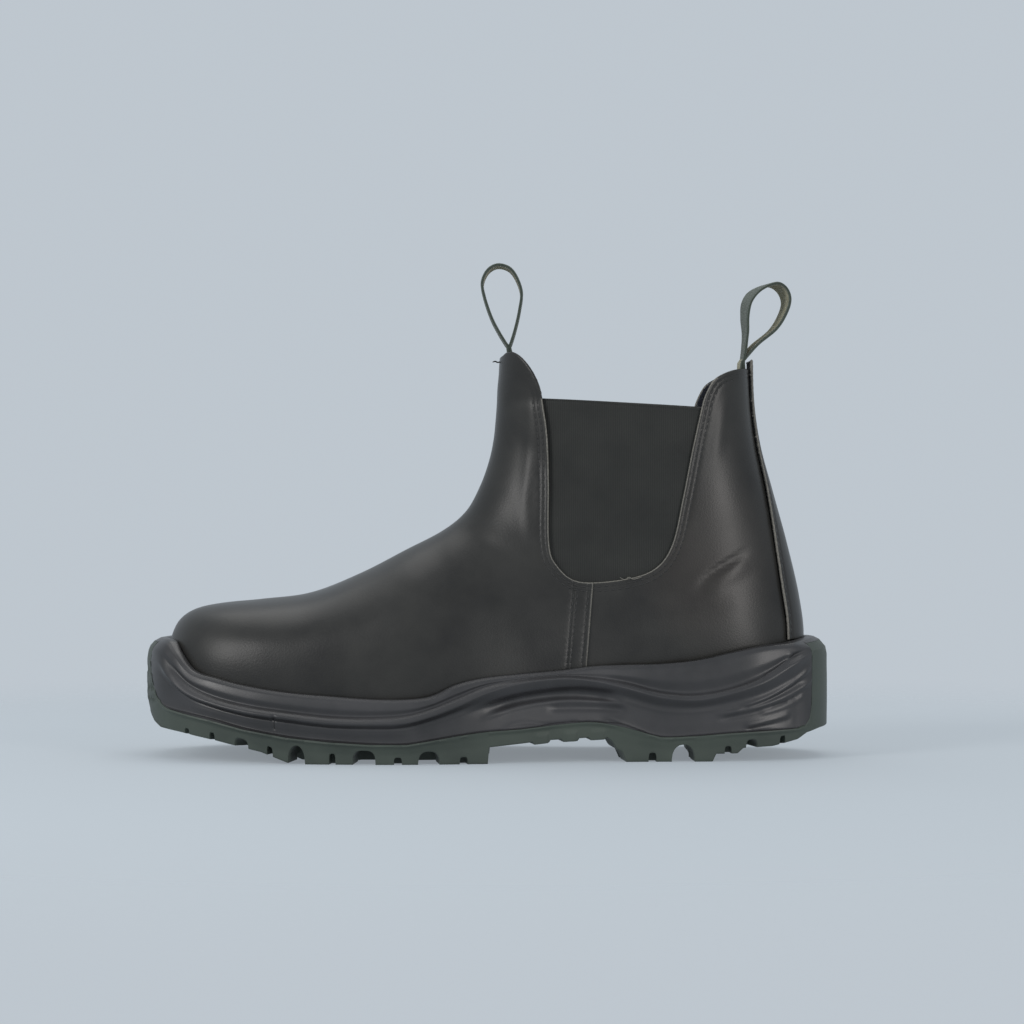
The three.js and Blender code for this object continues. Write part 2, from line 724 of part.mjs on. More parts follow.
function buildOutsole(block) {
  const under = prism([
    ...undersideLine(),
    [farOut, groundAt(1)],
    [farOut, farOut],
    [-farOut, farOut],
    [-farOut, groundAt(0)],
  ], 'across', -farOut, farOut);
  const ledge = ledgeLine(0);
  const below = prism([
    [-farOut, bootHeight],
    ...ledge,
    [farOut, bootHeight],
    [farOut, -farOut],
    [-farOut, -farOut],
  ], 'across', -farOut, farOut);
  let outsole = block.intersect(under).intersect(below).intersect(belowRim());
  const outline = soleOutline(outlineFaces * 4);
  for (const side of [-1, 1]) {
    const edge = outline.filter((p) => Math.sign(p.outY) === side);
    for (const row of lugGaps) outsole = outsole.subtract(lugCut(edge, row));
  }
  return outsole.subtract(treadCuts());
}

// Everything under the rim's top edge.
function belowRim() {
  const rim = onSole(sideLines, 'rim');
  return prism([
    [-farOut, rim[0][1]],
    ...rim,
    [farOut, rim[rim.length - 1][1]],
    [farOut, -farOut],
    [-farOut, -farOut],
  ], 'across', -farOut, farOut);
}

function buildMidsole(block) {
  const ledge = ledgeLine(gap);
  const above = prism([...ledge, [ledge[ledge.length - 1][0], farOut], [ledge[0][0], farOut]],
    'across', -farOut, farOut);
  return block.intersect(above).intersect(belowRim()).subtract(upperForm(gap));
}

function buildUpper() {
  const outline = soleOutline(outlineFaces);
  const inset = soleRim + lastingMargin;
  const opening = prism(outline.map((p) => [p.x - inset * p.outX, p.y - inset * p.outY]),
    'up', -soleRim, heelSeat + soleRim);
  return upperForm(0).subtract(lastSolid(-wall)).subtract(collarCut()).subtract(opening);
}

function buildInsole() {
  const rows = lastRows(-wall - gap).slice(1);
  const bottom = rows.filter((row) => row.backZ < heelSeat + wall + 2 * gap + insoleThickness);
  const line = bottom.map((row) => [row.backX, row.backZ + insoleThickness]);
  const under = prism([
    [-farOut, line[0][1]],
    ...line,
    [farOut, line[line.length - 1][1]],
    [farOut, -farOut],
    [-farOut, -farOut],
  ], 'across', -farOut, farOut);
  return lastSolid(-wall - gap).intersect(under);
}

// One gore: elastic inside the leather, wider than the opening by its hem.
function buildGore(side) {
  const outside = -wall - gap;
  const sheet = lastSolid(outside).subtract(lastSolid(outside - goreThickness));
  const edge = offsetLine(goreOutline, -goreHem);
  const window = [
    [edge[0][0], goreOutline[0][1]],
    ...edge.slice(1, -1),
    [edge[edge.length - 1][0], quarterStart[1]],
  ];
  return side < 0
    ? sheet.intersect(prism(window, 'across', -farOut, 0))
    : sheet.intersect(prism(window, 'across', 0, farOut));
}

function buildBackStrip() {
  const inside = gap - seamStep;
  const sheet = lastSolid(inside + stripThickness).subtract(lastSolid(inside));
  const edge = stripEdge.map((p) => [p.half * stripWidth, cupHeight + p.rise * (bootHeight - cupHeight)]);
  const other = edge.map(([y, z]) => [-y, z]).reverse();
  return sheet.intersect(prism([...edge, ...other], 'along', lastLength / 4, farOut));
}

// A pull loop: a closed band of webbing over its doubled tail, which lies on the collar's inner face.
function buildLoop(rows, baseX, baseZ, bulge, height, turn, tailRise, tailSide) {
  const curve = new THREE.CatmullRomCurve3(
    rows.map((p) => new THREE.Vector3(p.across * bulge, p.up * height, 0)),
    true,
    'centripetal',
  );
  const outer = curve.getSpacedPoints(loopFaces).slice(0, loopFaces);
  const offset = outer.map((p, k) => {
    const before = outer[(k + loopFaces - 1) % loopFaces];
    const after = outer[(k + 1) % loopFaces];
    const out = new THREE.Vector2(after.y - before.y, before.x - after.x).normalize();
    return [p.x + webbingThickness * out.x, p.y + webbingThickness * out.y];
  });
  const inner = offset.filter(([x, z]) => outer.every((p) => Math.hypot(p.x - x, p.y - z) > 0.95 * webbingThickness));
  const half = loopWidth / 2;
  const band = prism(outer.map((p) => [p.x, p.y]), 'across', -half, half)
    .subtract(prism(inner, 'across', -loopWidth, loopWidth));
  const outside = -wall - gap;
  const doubled = 2 * webbingThickness;
  const sheet = lastSolid(outside).subtract(lastSolid(outside - doubled));
  const end = tailSide < 0 ? -farOut : goreFront + goreLength;
  const start = tailSide < 0 ? goreFront + goreLength / 4 : farOut;
  const strip = prism([
    [Math.min(end, start), baseZ - tailDepth],
    [Math.max(end, start), baseZ - tailDepth],
    [Math.max(end, start), baseZ + tailRise],
    [Math.min(end, start), baseZ + tailRise],
  ], 'across', -half, half);
  return band.rotate([0, 0, turn]).translate([baseX, 0, baseZ]).add(sheet.intersect(strip));
}

function piece(name, solid, look) {
  const made = solid.getMesh();
  const geometry = new THREE.BufferGeometry();
  geometry.setAttribute('position', new THREE.BufferAttribute(new Float32Array(made.vertProperties), 3));
  geometry.setIndex(new THREE.BufferAttribute(new Uint32Array(made.triVerts), 1));
  geometry.computeVertexNormals();
  const mesh = new THREE.Mesh(geometry, new THREE.MeshStandardMaterial(look));
  mesh.name = name;
  return mesh;
}

const leather = { color: 0x3c3a39, roughness: 0.5, metalness: 0 };
const elastic = { color: 0x343734, roughness: 0.85, metalness: 0 };
const foam = { color: 0x34383c, roughness: 0.6, metalness: 0 };
const rubber = { color: 0x464c48, roughness: 0.65, metalness: 0 };
const lining = { color: 0x2c2c2b, roughness: 0.95, metalness: 0 };
const woven = { color: 0x4a4f49, roughness: 0.9, metalness: 0 };

const block = soleBlock();
const sole = new THREE.Group();
sole.add(piece('outsole', buildOutsole(block), rubber));
sole.add(piece('midsole', buildMidsole(block), foam));

const shaft = new THREE.Group();
shaft.add(piece('upper', buildUpper(), leather));
shaft.add(piece('insole', buildInsole(), lining));
shaft.add(piece('gore_lateral', buildGore(-1), elastic));
shaft.add(piece('gore_medial', buildGore(1), elastic));
shaft.add(piece('back_strip', buildBackStrip(), leather));
shaft.add(piece('pull_loop_front',
  buildLoop(frontLoop, goreFront - tabLength + frontLoopSeat, bootHeight + gap, frontLoopBulge,
    frontLoopHeight, 0, frontTailRise, -1),
  woven));
shaft.add(piece('pull_loop_back',
  buildLoop(backLoop, quarterStart[0] + quarterLength - backLoopSeat, collarBack + gap, backLoopBulge,
    backLoopHeight, backLoopTurn, backTailRise, 1),
  woven));

// The origin lies on the floor under the middle of the boot.
const boot = new THREE.Group();
boot.add(sole, shaft);
const box = new THREE.Box3().setFromObject(boot, true);
boot.position.set(-(box.min.x + box.max.x) / 2, -(box.min.y + box.max.y) / 2, 0);

export default boot;
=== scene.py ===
import math

import bpy
import numpy as np
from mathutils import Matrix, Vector
from mathutils.bvhtree import BVHTree


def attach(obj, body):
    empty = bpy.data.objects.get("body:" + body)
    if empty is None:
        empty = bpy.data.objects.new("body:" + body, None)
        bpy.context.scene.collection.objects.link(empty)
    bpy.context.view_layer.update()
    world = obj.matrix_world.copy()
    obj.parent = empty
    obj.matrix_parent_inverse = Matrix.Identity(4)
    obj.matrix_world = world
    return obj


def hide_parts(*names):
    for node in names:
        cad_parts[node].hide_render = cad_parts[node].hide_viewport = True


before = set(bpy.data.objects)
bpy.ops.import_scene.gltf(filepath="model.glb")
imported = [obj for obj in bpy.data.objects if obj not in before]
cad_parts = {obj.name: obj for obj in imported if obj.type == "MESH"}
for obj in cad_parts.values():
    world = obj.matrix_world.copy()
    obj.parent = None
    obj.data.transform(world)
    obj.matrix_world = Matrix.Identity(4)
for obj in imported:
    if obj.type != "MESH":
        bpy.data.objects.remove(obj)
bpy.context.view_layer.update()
print("frame loaded")

# Side gore work boot, left foot. Lengths are millimetres in the boot's own frame: toe to -X, outer side
# -Y, floor Z = 0. makeMesh moves them by centring and turns them into metres.
form = {
    "lastLength": 282.0, "ballWidth": 98.0, "instep": 108.0, "height": 178.0, "heelSeat": 27.0,
    "toePoint": 39.4, "toeShift": 4.0, "toeOverhang": 8.6, "heelOverhang": 11.4, "soleWidth": 113.0,
    "cup": 50.0, "relief": 2.0, "wall": 2.6, "seamStep": 1.0, "gap": 0.3,
}
centring = np.array([0.009, 1.026, 0.0])
soleLength = form["lastLength"] + form["toeOverhang"] + form["heelOverhang"]
soleToe = -soleLength / 2
toeX = soleToe + form["toeOverhang"]
farOut = 600.0

# the photograph's camera: distance to the boot's middle plane, millimetres per pixel there, height, side
view = {"distance": 1250.0, "scale": 0.4448, "height": 107.5, "side": 11.34, "middle": 512.0}


# Pixels of the photograph as X, Z on the plane y = depth: counted from the picture's middle, with the
# millimetres per pixel grown by (distance + depth) / distance.
def fromPhoto(line, depth):
    line = np.asarray(line, float)
    scale = view["scale"] * (view["distance"] + depth) / view["distance"]
    return np.column_stack([view["side"] + (line[:, 0] - view["middle"]) * scale,
                            view["height"] - (line[:, 1] - view["middle"]) * scale])


# curves

# Cubic at share t of a span, from one value to another, with the slopes it leaves and arrives with.
def cubic(t, one, other, leave, arrive, span=1.0):
    return ((2 * t**3 - 3 * t**2 + 1) * one + (t**3 - 2 * t**2 + t) * span * leave
            + (3 * t**2 - 2 * t**3) * other + (t**3 - t**2) * span * arrive)


# The numbers of the rows before and after each row of a table, held at its ends.
def neighbours(count):
    row = np.arange(count)
    return np.maximum(row - 1, 0), np.minimum(row + 1, count - 1)


# Each row divided by its own length.
def unit(rows):
    return rows / np.linalg.norm(rows, axis=1)[:, None]


# Cubic between rows i and i + 1 at share t, its slopes taken from the rows on either side.
def hermite(keys, values, i, t):
    before, after = neighbours(len(keys))
    slope = (values[after] - values[before]) / (keys[after] - keys[before])[:, None]
    span = (keys[i + 1] - keys[i])[:, None]
    return cubic(t[:, None], values[i], values[i + 1], slope[i], slope[i + 1], span)


# A smooth curve through a table's rows, read at some places along its keys.
def smoothAt(keys, values, place):
    place = np.clip(place, keys[0], keys[-1])
    i = np.clip(np.searchsorted(keys, place, side="right") - 1, 0, len(keys) - 2)
    values = np.asarray(values, float).reshape(len(keys), -1)
    return hermite(keys, values, i, (place - keys[i]) / (keys[i + 1] - keys[i]))


# A smooth line through a few points, with even steps between each two.
def softLine(points, steps):
    points = np.asarray(points, float)
    return smoothAt(np.arange(len(points), dtype=float), points, np.linspace(0, len(points) - 1, steps + 1))


# The same line with points a fixed distance apart.
def evenLine(points, step):
    length = np.concatenate([[0], np.cumsum(np.linalg.norm(np.diff(points, axis=0), axis=1))])
    place = np.linspace(0, length[-1], max(int(round(length[-1] / step)), 1) + 1)
    return np.column_stack([np.interp(place, length, points[:, k]) for k in range(points.shape[1])])


# Directions along a line, and the same turned to its left.
def lineWays(points):
    way = unit(np.gradient(points, axis=0))
    return way, np.column_stack([-way[:, 1], way[:, 0]])


# A line moved to the left of its own direction.
def offsetLine(points, distance):
    return points + distance * lineWays(points)[1]


# 0 below low, 1 above high, eased between.
def smoothStep(low, high, value):
    t = np.clip((value - low) / (high - low), 0, 1)
    return t * t * (3 - 2 * t)


# Distance of points from a broken line, and how far along the line the nearest place is.
def lineDistance(line, points):
    best = np.full(len(points), np.inf)
    along = np.zeros(len(points))
    travelled = 0.0
    for a, b in zip(line[:-1], line[1:]):
        length = np.linalg.norm(b - a)
        share = np.clip(((points - a) @ (b - a)) / length**2, 0, 1)
        away = np.linalg.norm(points - a - share[:, None] * (b - a), axis=1)
        along = np.where(away < best, travelled + share * length, along)
        best = np.minimum(best, away)
        travelled += length
    return best, along


# Whether points lie inside a closed outline, by counting the edges they see to one side.
def insideOf(outline, points):
    inside = np.zeros(len(points), bool)
    for a, b in zip(outline, np.roll(outline, -1, axis=0)):
        if a[1] != b[1]:
            level = (points[:, 1] - a[1]) / (b[1] - a[1])
            crosses = (a[1] > points[:, 1]) != (b[1] > points[:, 1])
            inside ^= crosses & (points[:, 0] < a[0] + level * (b[0] - a[0]))
    return inside


# A bell of height 1 at 0, narrowing to nothing at about twice its width.
def bell(distance, width):
    return np.exp(-(distance / width) ** 2)


# meshes

# Quads of a grid of rows by columns, closed around its columns, its rows or both.
def gridQuads(rows, columns, around=True, over=False):
    row = np.arange(rows if over else rows - 1)[:, None]
    column = np.arange(columns if around else columns - 1)[None, :]
    nextRow, nextColumn = (row + 1) % rows, (column + 1) % columns
    return np.stack([row * columns + column, row * columns + nextColumn,
                     nextRow * columns + nextColumn, nextRow * columns + column], axis=-1).reshape(-1, 4)


# Each quad a, b, c, d as the triangles a, b, c and a, c, d.
def quadsToTriangles(quads):
    return np.concatenate([quads[:, [0, 1, 2]], quads[:, [0, 2, 3]]])


# Vertex normals: the sum of the cross products of the faces around each vertex.
def vertexNormals(points, faces):
    across = np.cross(points[faces[:, 1]] - points[faces[:, 0]], points[faces[:, 2]] - points[faces[:, 0]])
    total = np.zeros_like(points)
    for k in range(faces.shape[1]):
        np.add.at(total, faces[:, k], across)
    return total / np.maximum(np.linalg.norm(total, axis=1), 1e-12)[:, None]


# Millimetres of the boot's own frame become a mesh object in metres at the origin.
def makeMesh(name, points, faces, materials, faceSlot=None, sharp=None, uv=None):
    mesh = bpy.data.meshes.new(name)
    mesh.from_pydata(((points + centring) * 0.001).tolist(), [], faces.tolist())
    for material in materials:
        mesh.materials.append(material)
    if faceSlot is not None:
        mesh.polygons.foreach_set("material_index", np.asarray(faceSlot, np.int32))
    mesh.polygons.foreach_set("use_smooth", np.ones(len(faces), bool))
    if uv is not None:
        layer = mesh.uv_layers.new(name="weave")
        layer.data.foreach_set("uv", uv[faces.ravel()].ravel())
    mesh.update()
    if sharp is not None:
        mesh.set_sharp_from_angle(angle=math.radians(sharp))
    piece = bpy.data.objects.new(name, mesh)
    bpy.context.scene.collection.objects.link(piece)
    return piece


# The piece rides on the boot's one body and stands for its CAD nodes, which it hides. Its slot, the finish,
# is not used.
def finishPiece(piece, slot, *nodes):
    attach(piece, "root")
    if nodes:
        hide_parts(*nodes)
    return piece


# Splits every triangle that one column of the point table crosses at some level, so that an edge
# follows that level. The other columns are read along the cut edges.
def splitAt(table, faces, column, level):
    value = table[:, column] - level
    value = np.where(np.abs(value) < 1e-6, 1e-6, value)
    above = value[faces] > 0
    count = above.sum(axis=1)
    mixed = (count == 1) | (count == 2)
    if not mixed.any():
        return table, faces
    cut, side = faces[mixed], above[mixed]
    lone = np.where(count[mixed] == 1, side.argmax(axis=1), (~side).argmax(axis=1))
    turned = np.take_along_axis(cut, (lone[:, None] + np.arange(3)) % 3, axis=1)
    a, b, c = turned.T
    edges = np.sort(np.concatenate([np.stack([a, b], 1), np.stack([a, c], 1)]), axis=1)
    edges, where = np.unique(edges, axis=0, return_inverse=True)
    where = where.reshape(-1) + len(table)
    share = value[edges[:, 0]] / (value[edges[:, 0]] - value[edges[:, 1]])
    share = np.clip(share, 0.02, 0.98)
    fresh = table[edges[:, 0]] + share[:, None] * (table[edges[:, 1]] - table[edges[:, 0]])
    fresh[:, column] = level
    ab, ac = where[:len(a)], where[len(a):]
    parts = [faces[~mixed], np.stack([a, ab, ac], 1), np.stack([ab, b, c], 1), np.stack([ab, c, ac], 1)]
    return np.concatenate([table, fresh]), np.concatenate(parts)


# Keeps the faces that are true, and the points that they use.
def keepFaces(table, faces, kept):
    faces = faces[kept]
    used = np.unique(faces)
    order = np.zeros(len(table), np.int64)
    order[used] = np.arange(len(used))
    return table[used], order[faces]


# the last

# topAlong, topRise, backAlong, backRise, lateral, medial, widest, low, high
lastSections = np.array([
    [0.004, 0.447, 0.004, 1.026, 0.071, 0.153, 0.46, 2.2, 2.0],
    [0.018, 0.543, 0.018, 0.919, 0.184, 0.265, 0.42, 2.6, 2.2],
    [0.043, 0.594, 0.043, 0.785, 0.286, 0.357, 0.40, 3.2, 2.4],
    [0.085, 0.620, 0.085, 0.704, 0.372, 0.423, 0.36, 3.8, 2.5],
    [0.149, 0.637, 0.149, 0.644, 0.437, 0.469, 0.33, 4.4, 2.5],
    [0.227, 0.664, 0.227, 0.611, 0.480, 0.493, 0.30, 4.8, 2.4],
    [0.306, 0.744, 0.312, 0.604, 0.503, 0.492, 0.28, 4.8, 2.2],
    [0.377, 0.839, 0.401, 0.656, 0.510, 0.459, 0.27, 4.6, 2.05],
    [0.437, 0.921, 0.503, 0.785, 0.485, 0.418, 0.26, 4.4, 1.95],
    [0.473, 1.000, 0.614, 0.919, 0.434, 0.383, 0.28, 4.2, 1.9],
    [0.495, 1.160, 0.720, 0.981, 0.398, 0.367, 0.31, 4.0, 1.95],
    [0.509, 1.319, 0.826, 1.003, 0.378, 0.362, 0.35, 3.8, 2.05],
    [0.516, 1.452, 0.924, 1.009, 0.362, 0.357, 0.40, 3.3, 2.15],
    [0.519, 1.566, 0.984, 1.050, 0.352, 0.352, 0.44, 2.7, 2.2],
    [0.521, 1.675, 1.001, 1.156, 0.349, 0.349, 0.48, 2.4, 2.25],
    [0.522, 1.771, 0.995, 1.279, 0.347, 0.347, 0.50, 2.35, 2.25],
    [0.524, 1.860, 0.975, 1.442, 0.343, 0.343, 0.50, 2.4, 2.3],
    [0.525, 1.936, 0.952, 1.598, 0.342, 0.342, 0.50, 2.5, 2.35],
    [0.527, 2.006, 0.933, 1.730, 0.342, 0.342, 0.50, 2.6, 2.4],
    [0.529, 2.070, 0.923, 1.863, 0.345, 0.345, 0.50, 2.7, 2.4],
    [0.533, 2.200, 0.921, 2.060, 0.349, 0.349, 0.50, 2.7, 2.4],
])


# The sections in millimetres, grown outward by some distance: how far each lies from the toe point, then
# topX, topZ, backX, backZ, centre, half width, widest, low, high.
def lastRows(grow):
    s = lastSections
    lift = np.where(s[:, 1] < 1, s[:, 1] * form["instep"],
                    form["instep"] + (s[:, 1] - 1) * (form["height"] - form["instep"]))
    drop = np.where(s[:, 3] < 1, s[:, 3] * form["heelSeat"],
                    form["heelSeat"] + (s[:, 3] - 1) * (form["height"] - form["heelSeat"]))
    top = np.column_stack([toeX + s[:, 0] * form["lastLength"], lift])
    back = np.column_stack([toeX + s[:, 2] * form["lastLength"], drop])
    centre = (s[:, 5] - s[:, 4]) * form["ballWidth"] / 2
    half = (s[:, 5] + s[:, 4]) * form["ballWidth"] / 2
    pole = [[toeX, form["toePoint"]]]
    top, back = np.vstack([back[:1], pole, top]), np.vstack([top[:1], pole, back])
    centre = np.concatenate([centre[:1], [form["toeShift"]], centre])
    half = np.concatenate([-half[:1], [0], half])
    shape = np.vstack([s[:1, 6:], s[:1, 6:], s[:, 6:]])
    before, after = neighbours(len(top))
    topWay, backWay = unit(top[after] - top[before]), unit(back[after] - back[before])
    top = top + grow * np.column_stack([-topWay[:, 1], topWay[:, 0]])
    back = back + grow * np.column_stack([backWay[:, 1], -backWay[:, 0]])
    half = half + grow * np.sign(half)
    steps = (np.linalg.norm(np.diff(top, axis=0), axis=1) + np.linalg.norm(np.diff(back, axis=0), axis=1)) / 2
    return np.concatenate([[0], np.cumsum(steps)]), np.column_stack([top, back, centre, half, shape])


baseTravel = lastRows(0)[0]
lastTravel = baseTravel[-1] - baseTravel[1]


# Points of the last: each section is two half superellipses that meet where it is widest. along is the
# way from the toe point, angle turns from the inner side over the top.
def lastPoints(grow, along, angle):
    travel, rows = lastRows(grow)
    place = np.clip(along, 0, lastTravel) + baseTravel[1]
    i = np.clip(np.searchsorted(baseTravel, place, side="right") - 1, 1, len(baseTravel) - 2)
    share = (place - baseTravel[i]) / (baseTravel[i + 1] - baseTravel[i])
    v = hermite(travel, rows, i, share)[:, None, :]
    side, up = np.cos(angle)[None, :], np.sin(angle)[None, :]
    power = np.where(up > 0, v[..., 8], v[..., 7])
    reach = (np.abs(side) ** power + np.abs(up) ** power) ** (-1 / power)
    height = v[..., 6] + reach * up * np.where(up > 0, 1 - v[..., 6], v[..., 6])
    return np.stack([v[..., 2] + height * (v[..., 0] - v[..., 2]),
                     v[..., 4] + v[..., 5] * reach * side,
                     v[..., 3] + height * (v[..., 1] - v[..., 3])], axis=-1)


# The whole last as triangles that point outward, with the way along it kept for each point.
def lastSurface(grow, rows, columns, start=0.4, end=None):
    along = np.linspace(start, lastTravel if end is None else end, rows)
    points = lastPoints(grow, along, np.linspace(0, 2 * np.pi, columns, endpoint=False)).reshape(-1, 3)
    return points, quadsToTriangles(gridQuads(rows, columns))


# the gore, tab and collar, in side view
side = {
    "goreFront": toeX + 0.59 * form["lastLength"], "goreLength": 0.2475 * form["lastLength"],
    "goreDepth": 0.452 * form["height"], "goreTop": 0.8854 * form["height"],
    "tabLength": 0.0638 * form["lastLength"], "quarterLength": 0.0862 * form["lastLength"],
    "quarterRise": 0.101 * form["height"], "seamFront": toeX + 0.6557 * form["lastLength"],
    "seamLean": 0.0142 * form["lastLength"], "goreHem": 8.0,
}
goreEdge = np.array([
    [0.000, 0.000], [0.034, 0.190], [0.047, 0.450], [0.049, 0.790], [0.098, 0.910], [0.230, 0.995],
    [0.500, 0.985], [0.700, 0.930], [0.812, 0.800], [0.880, 0.550], [0.940, 0.290], [1.000, 0.060],
])
tabEdge = np.array([[-0.30, 0.92], [0.00, 0.92], [0.14, 0.99], [0.32, 0.98], [0.54, 0.84], [0.78, 0.56],
                    [0.95, 0.24], [1.00, 0.00]])
quarterEdge = np.array([[0.00, 0.00], [0.06, 0.28], [0.19, 0.62], [0.34, 0.79], [0.62, 0.94],
                        [1.00, 1.00], [1.60, 1.00]])
goreLine = softLine(np.column_stack([side["goreFront"] + goreEdge[:, 0] * side["goreLength"],
                                     side["goreTop"] - goreEdge[:, 1] * side["goreDepth"]]), 120)
tabRise = form["height"] - side["goreTop"]
tabLine = softLine(np.column_stack([side["goreFront"] + (tabEdge[:, 0] - 1) * side["tabLength"],
                                    side["goreTop"] + tabEdge[:, 1] * tabRise]), 42)
quarterLine = softLine(np.column_stack([goreLine[-1, 0] + quarterEdge[:, 0] * side["quarterLength"],
                                        goreLine[-1, 1] + quarterEdge[:, 1] * side["quarterRise"]]), 42)
collarBack = quarterLine[-1, 1]
openingLine = np.vstack([[[-farOut, tabLine[0, 1]]], tabLine[:-1], goreLine[:-1], quarterLine,
                         [[farOut, collarBack]]])
openingOutline = np.vstack([openingLine, [[farOut, farOut], [-farOut, farOut]]])


# Signed distance from the collar and the gores' cut-outs in side view, above 0 on the leather.
def openingField(points):
    flat = points[:, [0, 2]]
    away, _ = lineDistance(openingLine, flat)
    return np.where(insideOf(openingOutline, flat), -away, away)


# Signed distance from the vamp's rear edge, above 0 in front of it.
def seamField(points):
    turn = side["goreTop"] - side["goreDepth"]
    edge = side["seamFront"] + side["seamLean"] * np.clip(
        (points[:, 2] - form["heelSeat"]) / (turn - form["heelSeat"]), 0, 1)
    return edge - points[:, 0]


# the sole from above

# along, lateral, medial
solePlan = np.array([
    [0.010, 0.120, 0.195], [0.033, 0.243, 0.315], [0.083, 0.362, 0.415], [0.166, 0.444, 0.466],
    [0.281, 0.491, 0.487], [0.381, 0.504, 0.465], [0.497, 0.469, 0.403], [0.613, 0.412, 0.362],
    [0.712, 0.376, 0.352], [0.811, 0.363, 0.358], [0.894, 0.341, 0.341], [0.954, 0.274, 0.274],
    [0.987, 0.168, 0.168],
])
# along, lip, ridge, hollow, rim
sideLines = np.array([
    [0.000, 0.520, 0.860, 0.930, 1.020], [0.028, 0.500, 0.830, 0.910, 1.010],
    [0.045, 0.448, 0.720, 0.810, 0.920], [0.072, 0.412, 0.596, 0.670, 0.770],
    [0.110, 0.366, 0.512, 0.574, 0.704], [0.160, 0.292, 0.442, 0.504, 0.638],
    [0.220, 0.230, 0.396, 0.456, 0.588], [0.280, 0.194, 0.356, 0.420, 0.560],
    [0.340, 0.174, 0.348, 0.412, 0.536], [0.390, 0.174, 0.360, 0.432, 0.536],
    [0.425, 0.208, 0.416, 0.488, 0.564], [0.460, 0.244, 0.496, 0.572, 0.660],
    [0.500, 0.276, 0.600, 0.664, 0.716], [0.550, 0.296, 0.680, 0.716, 0.746],
    [0.610, 0.336, 0.716, 0.748, 0.776], [0.655, 0.348, 0.692, 0.732, 0.808],
    [0.700, 0.300, 0.632, 0.692, 0.816], [0.750, 0.216, 0.552, 0.620, 0.824],
    [0.800, 0.224, 0.530, 0.600, 0.852], [0.850, 0.248, 0.584, 0.652, 0.916],
    [0.900, 0.264, 0.684, 0.760, 0.972], [0.940, 0.276, 0.820, 0.888, 0.992],
    [0.970, 0.284, 0.908, 0.952, 1.012], [1.000, 0.288, 0.920, 0.960, 1.036],
])
# from line, to line, share, raise, ends, front, arch, heel; lines: 0 floor, 1 lip, 2 ridge, 3 hollow, 4 rim
sideRails = np.array([
    [0, 1, 0.00, -1.50, -1.50, -0.60, -0.80, -0.60], [0, 1, 0.50, 0.00, -0.80, -0.25, -0.50, -0.25],
    [0, 1, 1.00, -0.80, -0.20, 0.15, -0.25, 0.15], [0, 1, 1.00, 0.00, 0.00, 0.35, 0.05, 0.35],
    [0, 1, 1.00, 0.35, 0.00, -0.45, -0.70, -0.45], [1, 2, 0.32, 0.00, 0.05, -0.65, -1.20, -0.55],
    [1, 2, 0.56, 0.00, 0.05, -0.65, -1.80, -0.60], [1, 2, 0.66, 0.00, 0.05, -0.60, -1.70, -0.55],
    [1, 2, 0.80, 0.00, 0.00, -0.50, -0.45, -0.50], [1, 2, 1.00, 0.00, 0.00, 0.60, 0.35, 0.50],
    [2, 3, 0.50, 0.00, -0.15, 0.10, 0.10, 0.00], [2, 3, 1.00, 0.00, -0.30, -0.90, -0.70, -0.95],
    [3, 4, 0.40, 0.00, -0.70, -0.65, -0.70, -0.60], [3, 4, 0.85, 0.00, -1.70, -1.00, -0.90, -0.90],
    [3, 4, 1.00, 0.30, -2.80, -1.70, -1.40, -1.50],
])
lipRail = 3
# how much of its slope the side keeps at each rail
railTension = 0.8
# along, height: the underside, then the ledge where it turns up at the toe and the heel
groundLine = np.array([
    [-0.020, 0.600], [0.001, 0.520], [0.008, 0.390], [0.018, 0.320], [0.030, 0.276], [0.064, 0.248],
    [0.118, 0.188], [0.150, 0.144], [0.182, 0.100], [0.225, 0.000], [0.504, 0.000], [0.506, 0.142],
    [0.549, 0.168], [0.591, 0.196], [0.672, 0.220], [0.681, 0.176], [0.687, 0.112], [0.695, 0.088],
    [0.701, 0.000], [0.824, 0.000], [0.829, 0.066], [0.860, 0.070], [0.868, 0.116], [0.911, 0.128],
    [0.948, 0.180], [0.962, 0.232], [0.985, 0.266], [1.020, 0.284],
])
toeWrap = np.array([[0.011, 1.200], [0.012, 0.840], [0.016, 0.680], [0.024, 0.552], [0.036, 0.472]])
heelWrap = np.array([[0.960, 0.304], [0.967, 0.380], [0.970, 0.520], [0.9705, 1.200]])


# The closed outline through the plan's rows: a centripetal cubic, with its outward directions, and the
# way around it from the toe over the outer side.
def makeOutline():
    place = lambda along, across: np.column_stack([soleToe + along * soleLength, across * form["soleWidth"]])
    points = np.vstack([[[soleToe, form["toeShift"]]], place(solePlan[:, 0], -solePlan[:, 1]),
                        [[-soleToe, 0]], place(solePlan[::-1, 0], solePlan[::-1, 2])])
    p0, p1, p2, p3 = (np.roll(points, 1 - k, axis=0) for k in range(4))
    gaps = [np.linalg.norm(b - a, axis=1)[:, None] ** 0.5 for a, b in ((p0, p1), (p1, p2), (p2, p3))]
    first = ((p1 - p0) / gaps[0] - (p2 - p0) / (gaps[0] + gaps[1]) + (p2 - p1) / gaps[1]) * gaps[1]
    second = ((p2 - p1) / gaps[1] - (p3 - p1) / (gaps[1] + gaps[2]) + (p3 - p2) / gaps[2]) * gaps[1]
    t = np.linspace(0, 1, 160, endpoint=False)[None, :, None]
    curve = cubic(t, p1[:, None], p2[:, None], first[:, None], second[:, None]).reshape(-1, 2)
    way = unit(np.roll(curve, -1, axis=0) - np.roll(curve, 1, axis=0))
    steps = np.linalg.norm(np.roll(curve, -1, axis=0) - curve, axis=1)
    around = np.concatenate([[0], np.cumsum(steps)])
    loop = lambda values: np.vstack([values, values[:1]])
    return around, loop(curve), loop(np.column_stack([way[:, 1], -way[:, 0]]))


outlineWay, outlinePoints, outlineOut = makeOutline()
girth = outlineWay[-1]


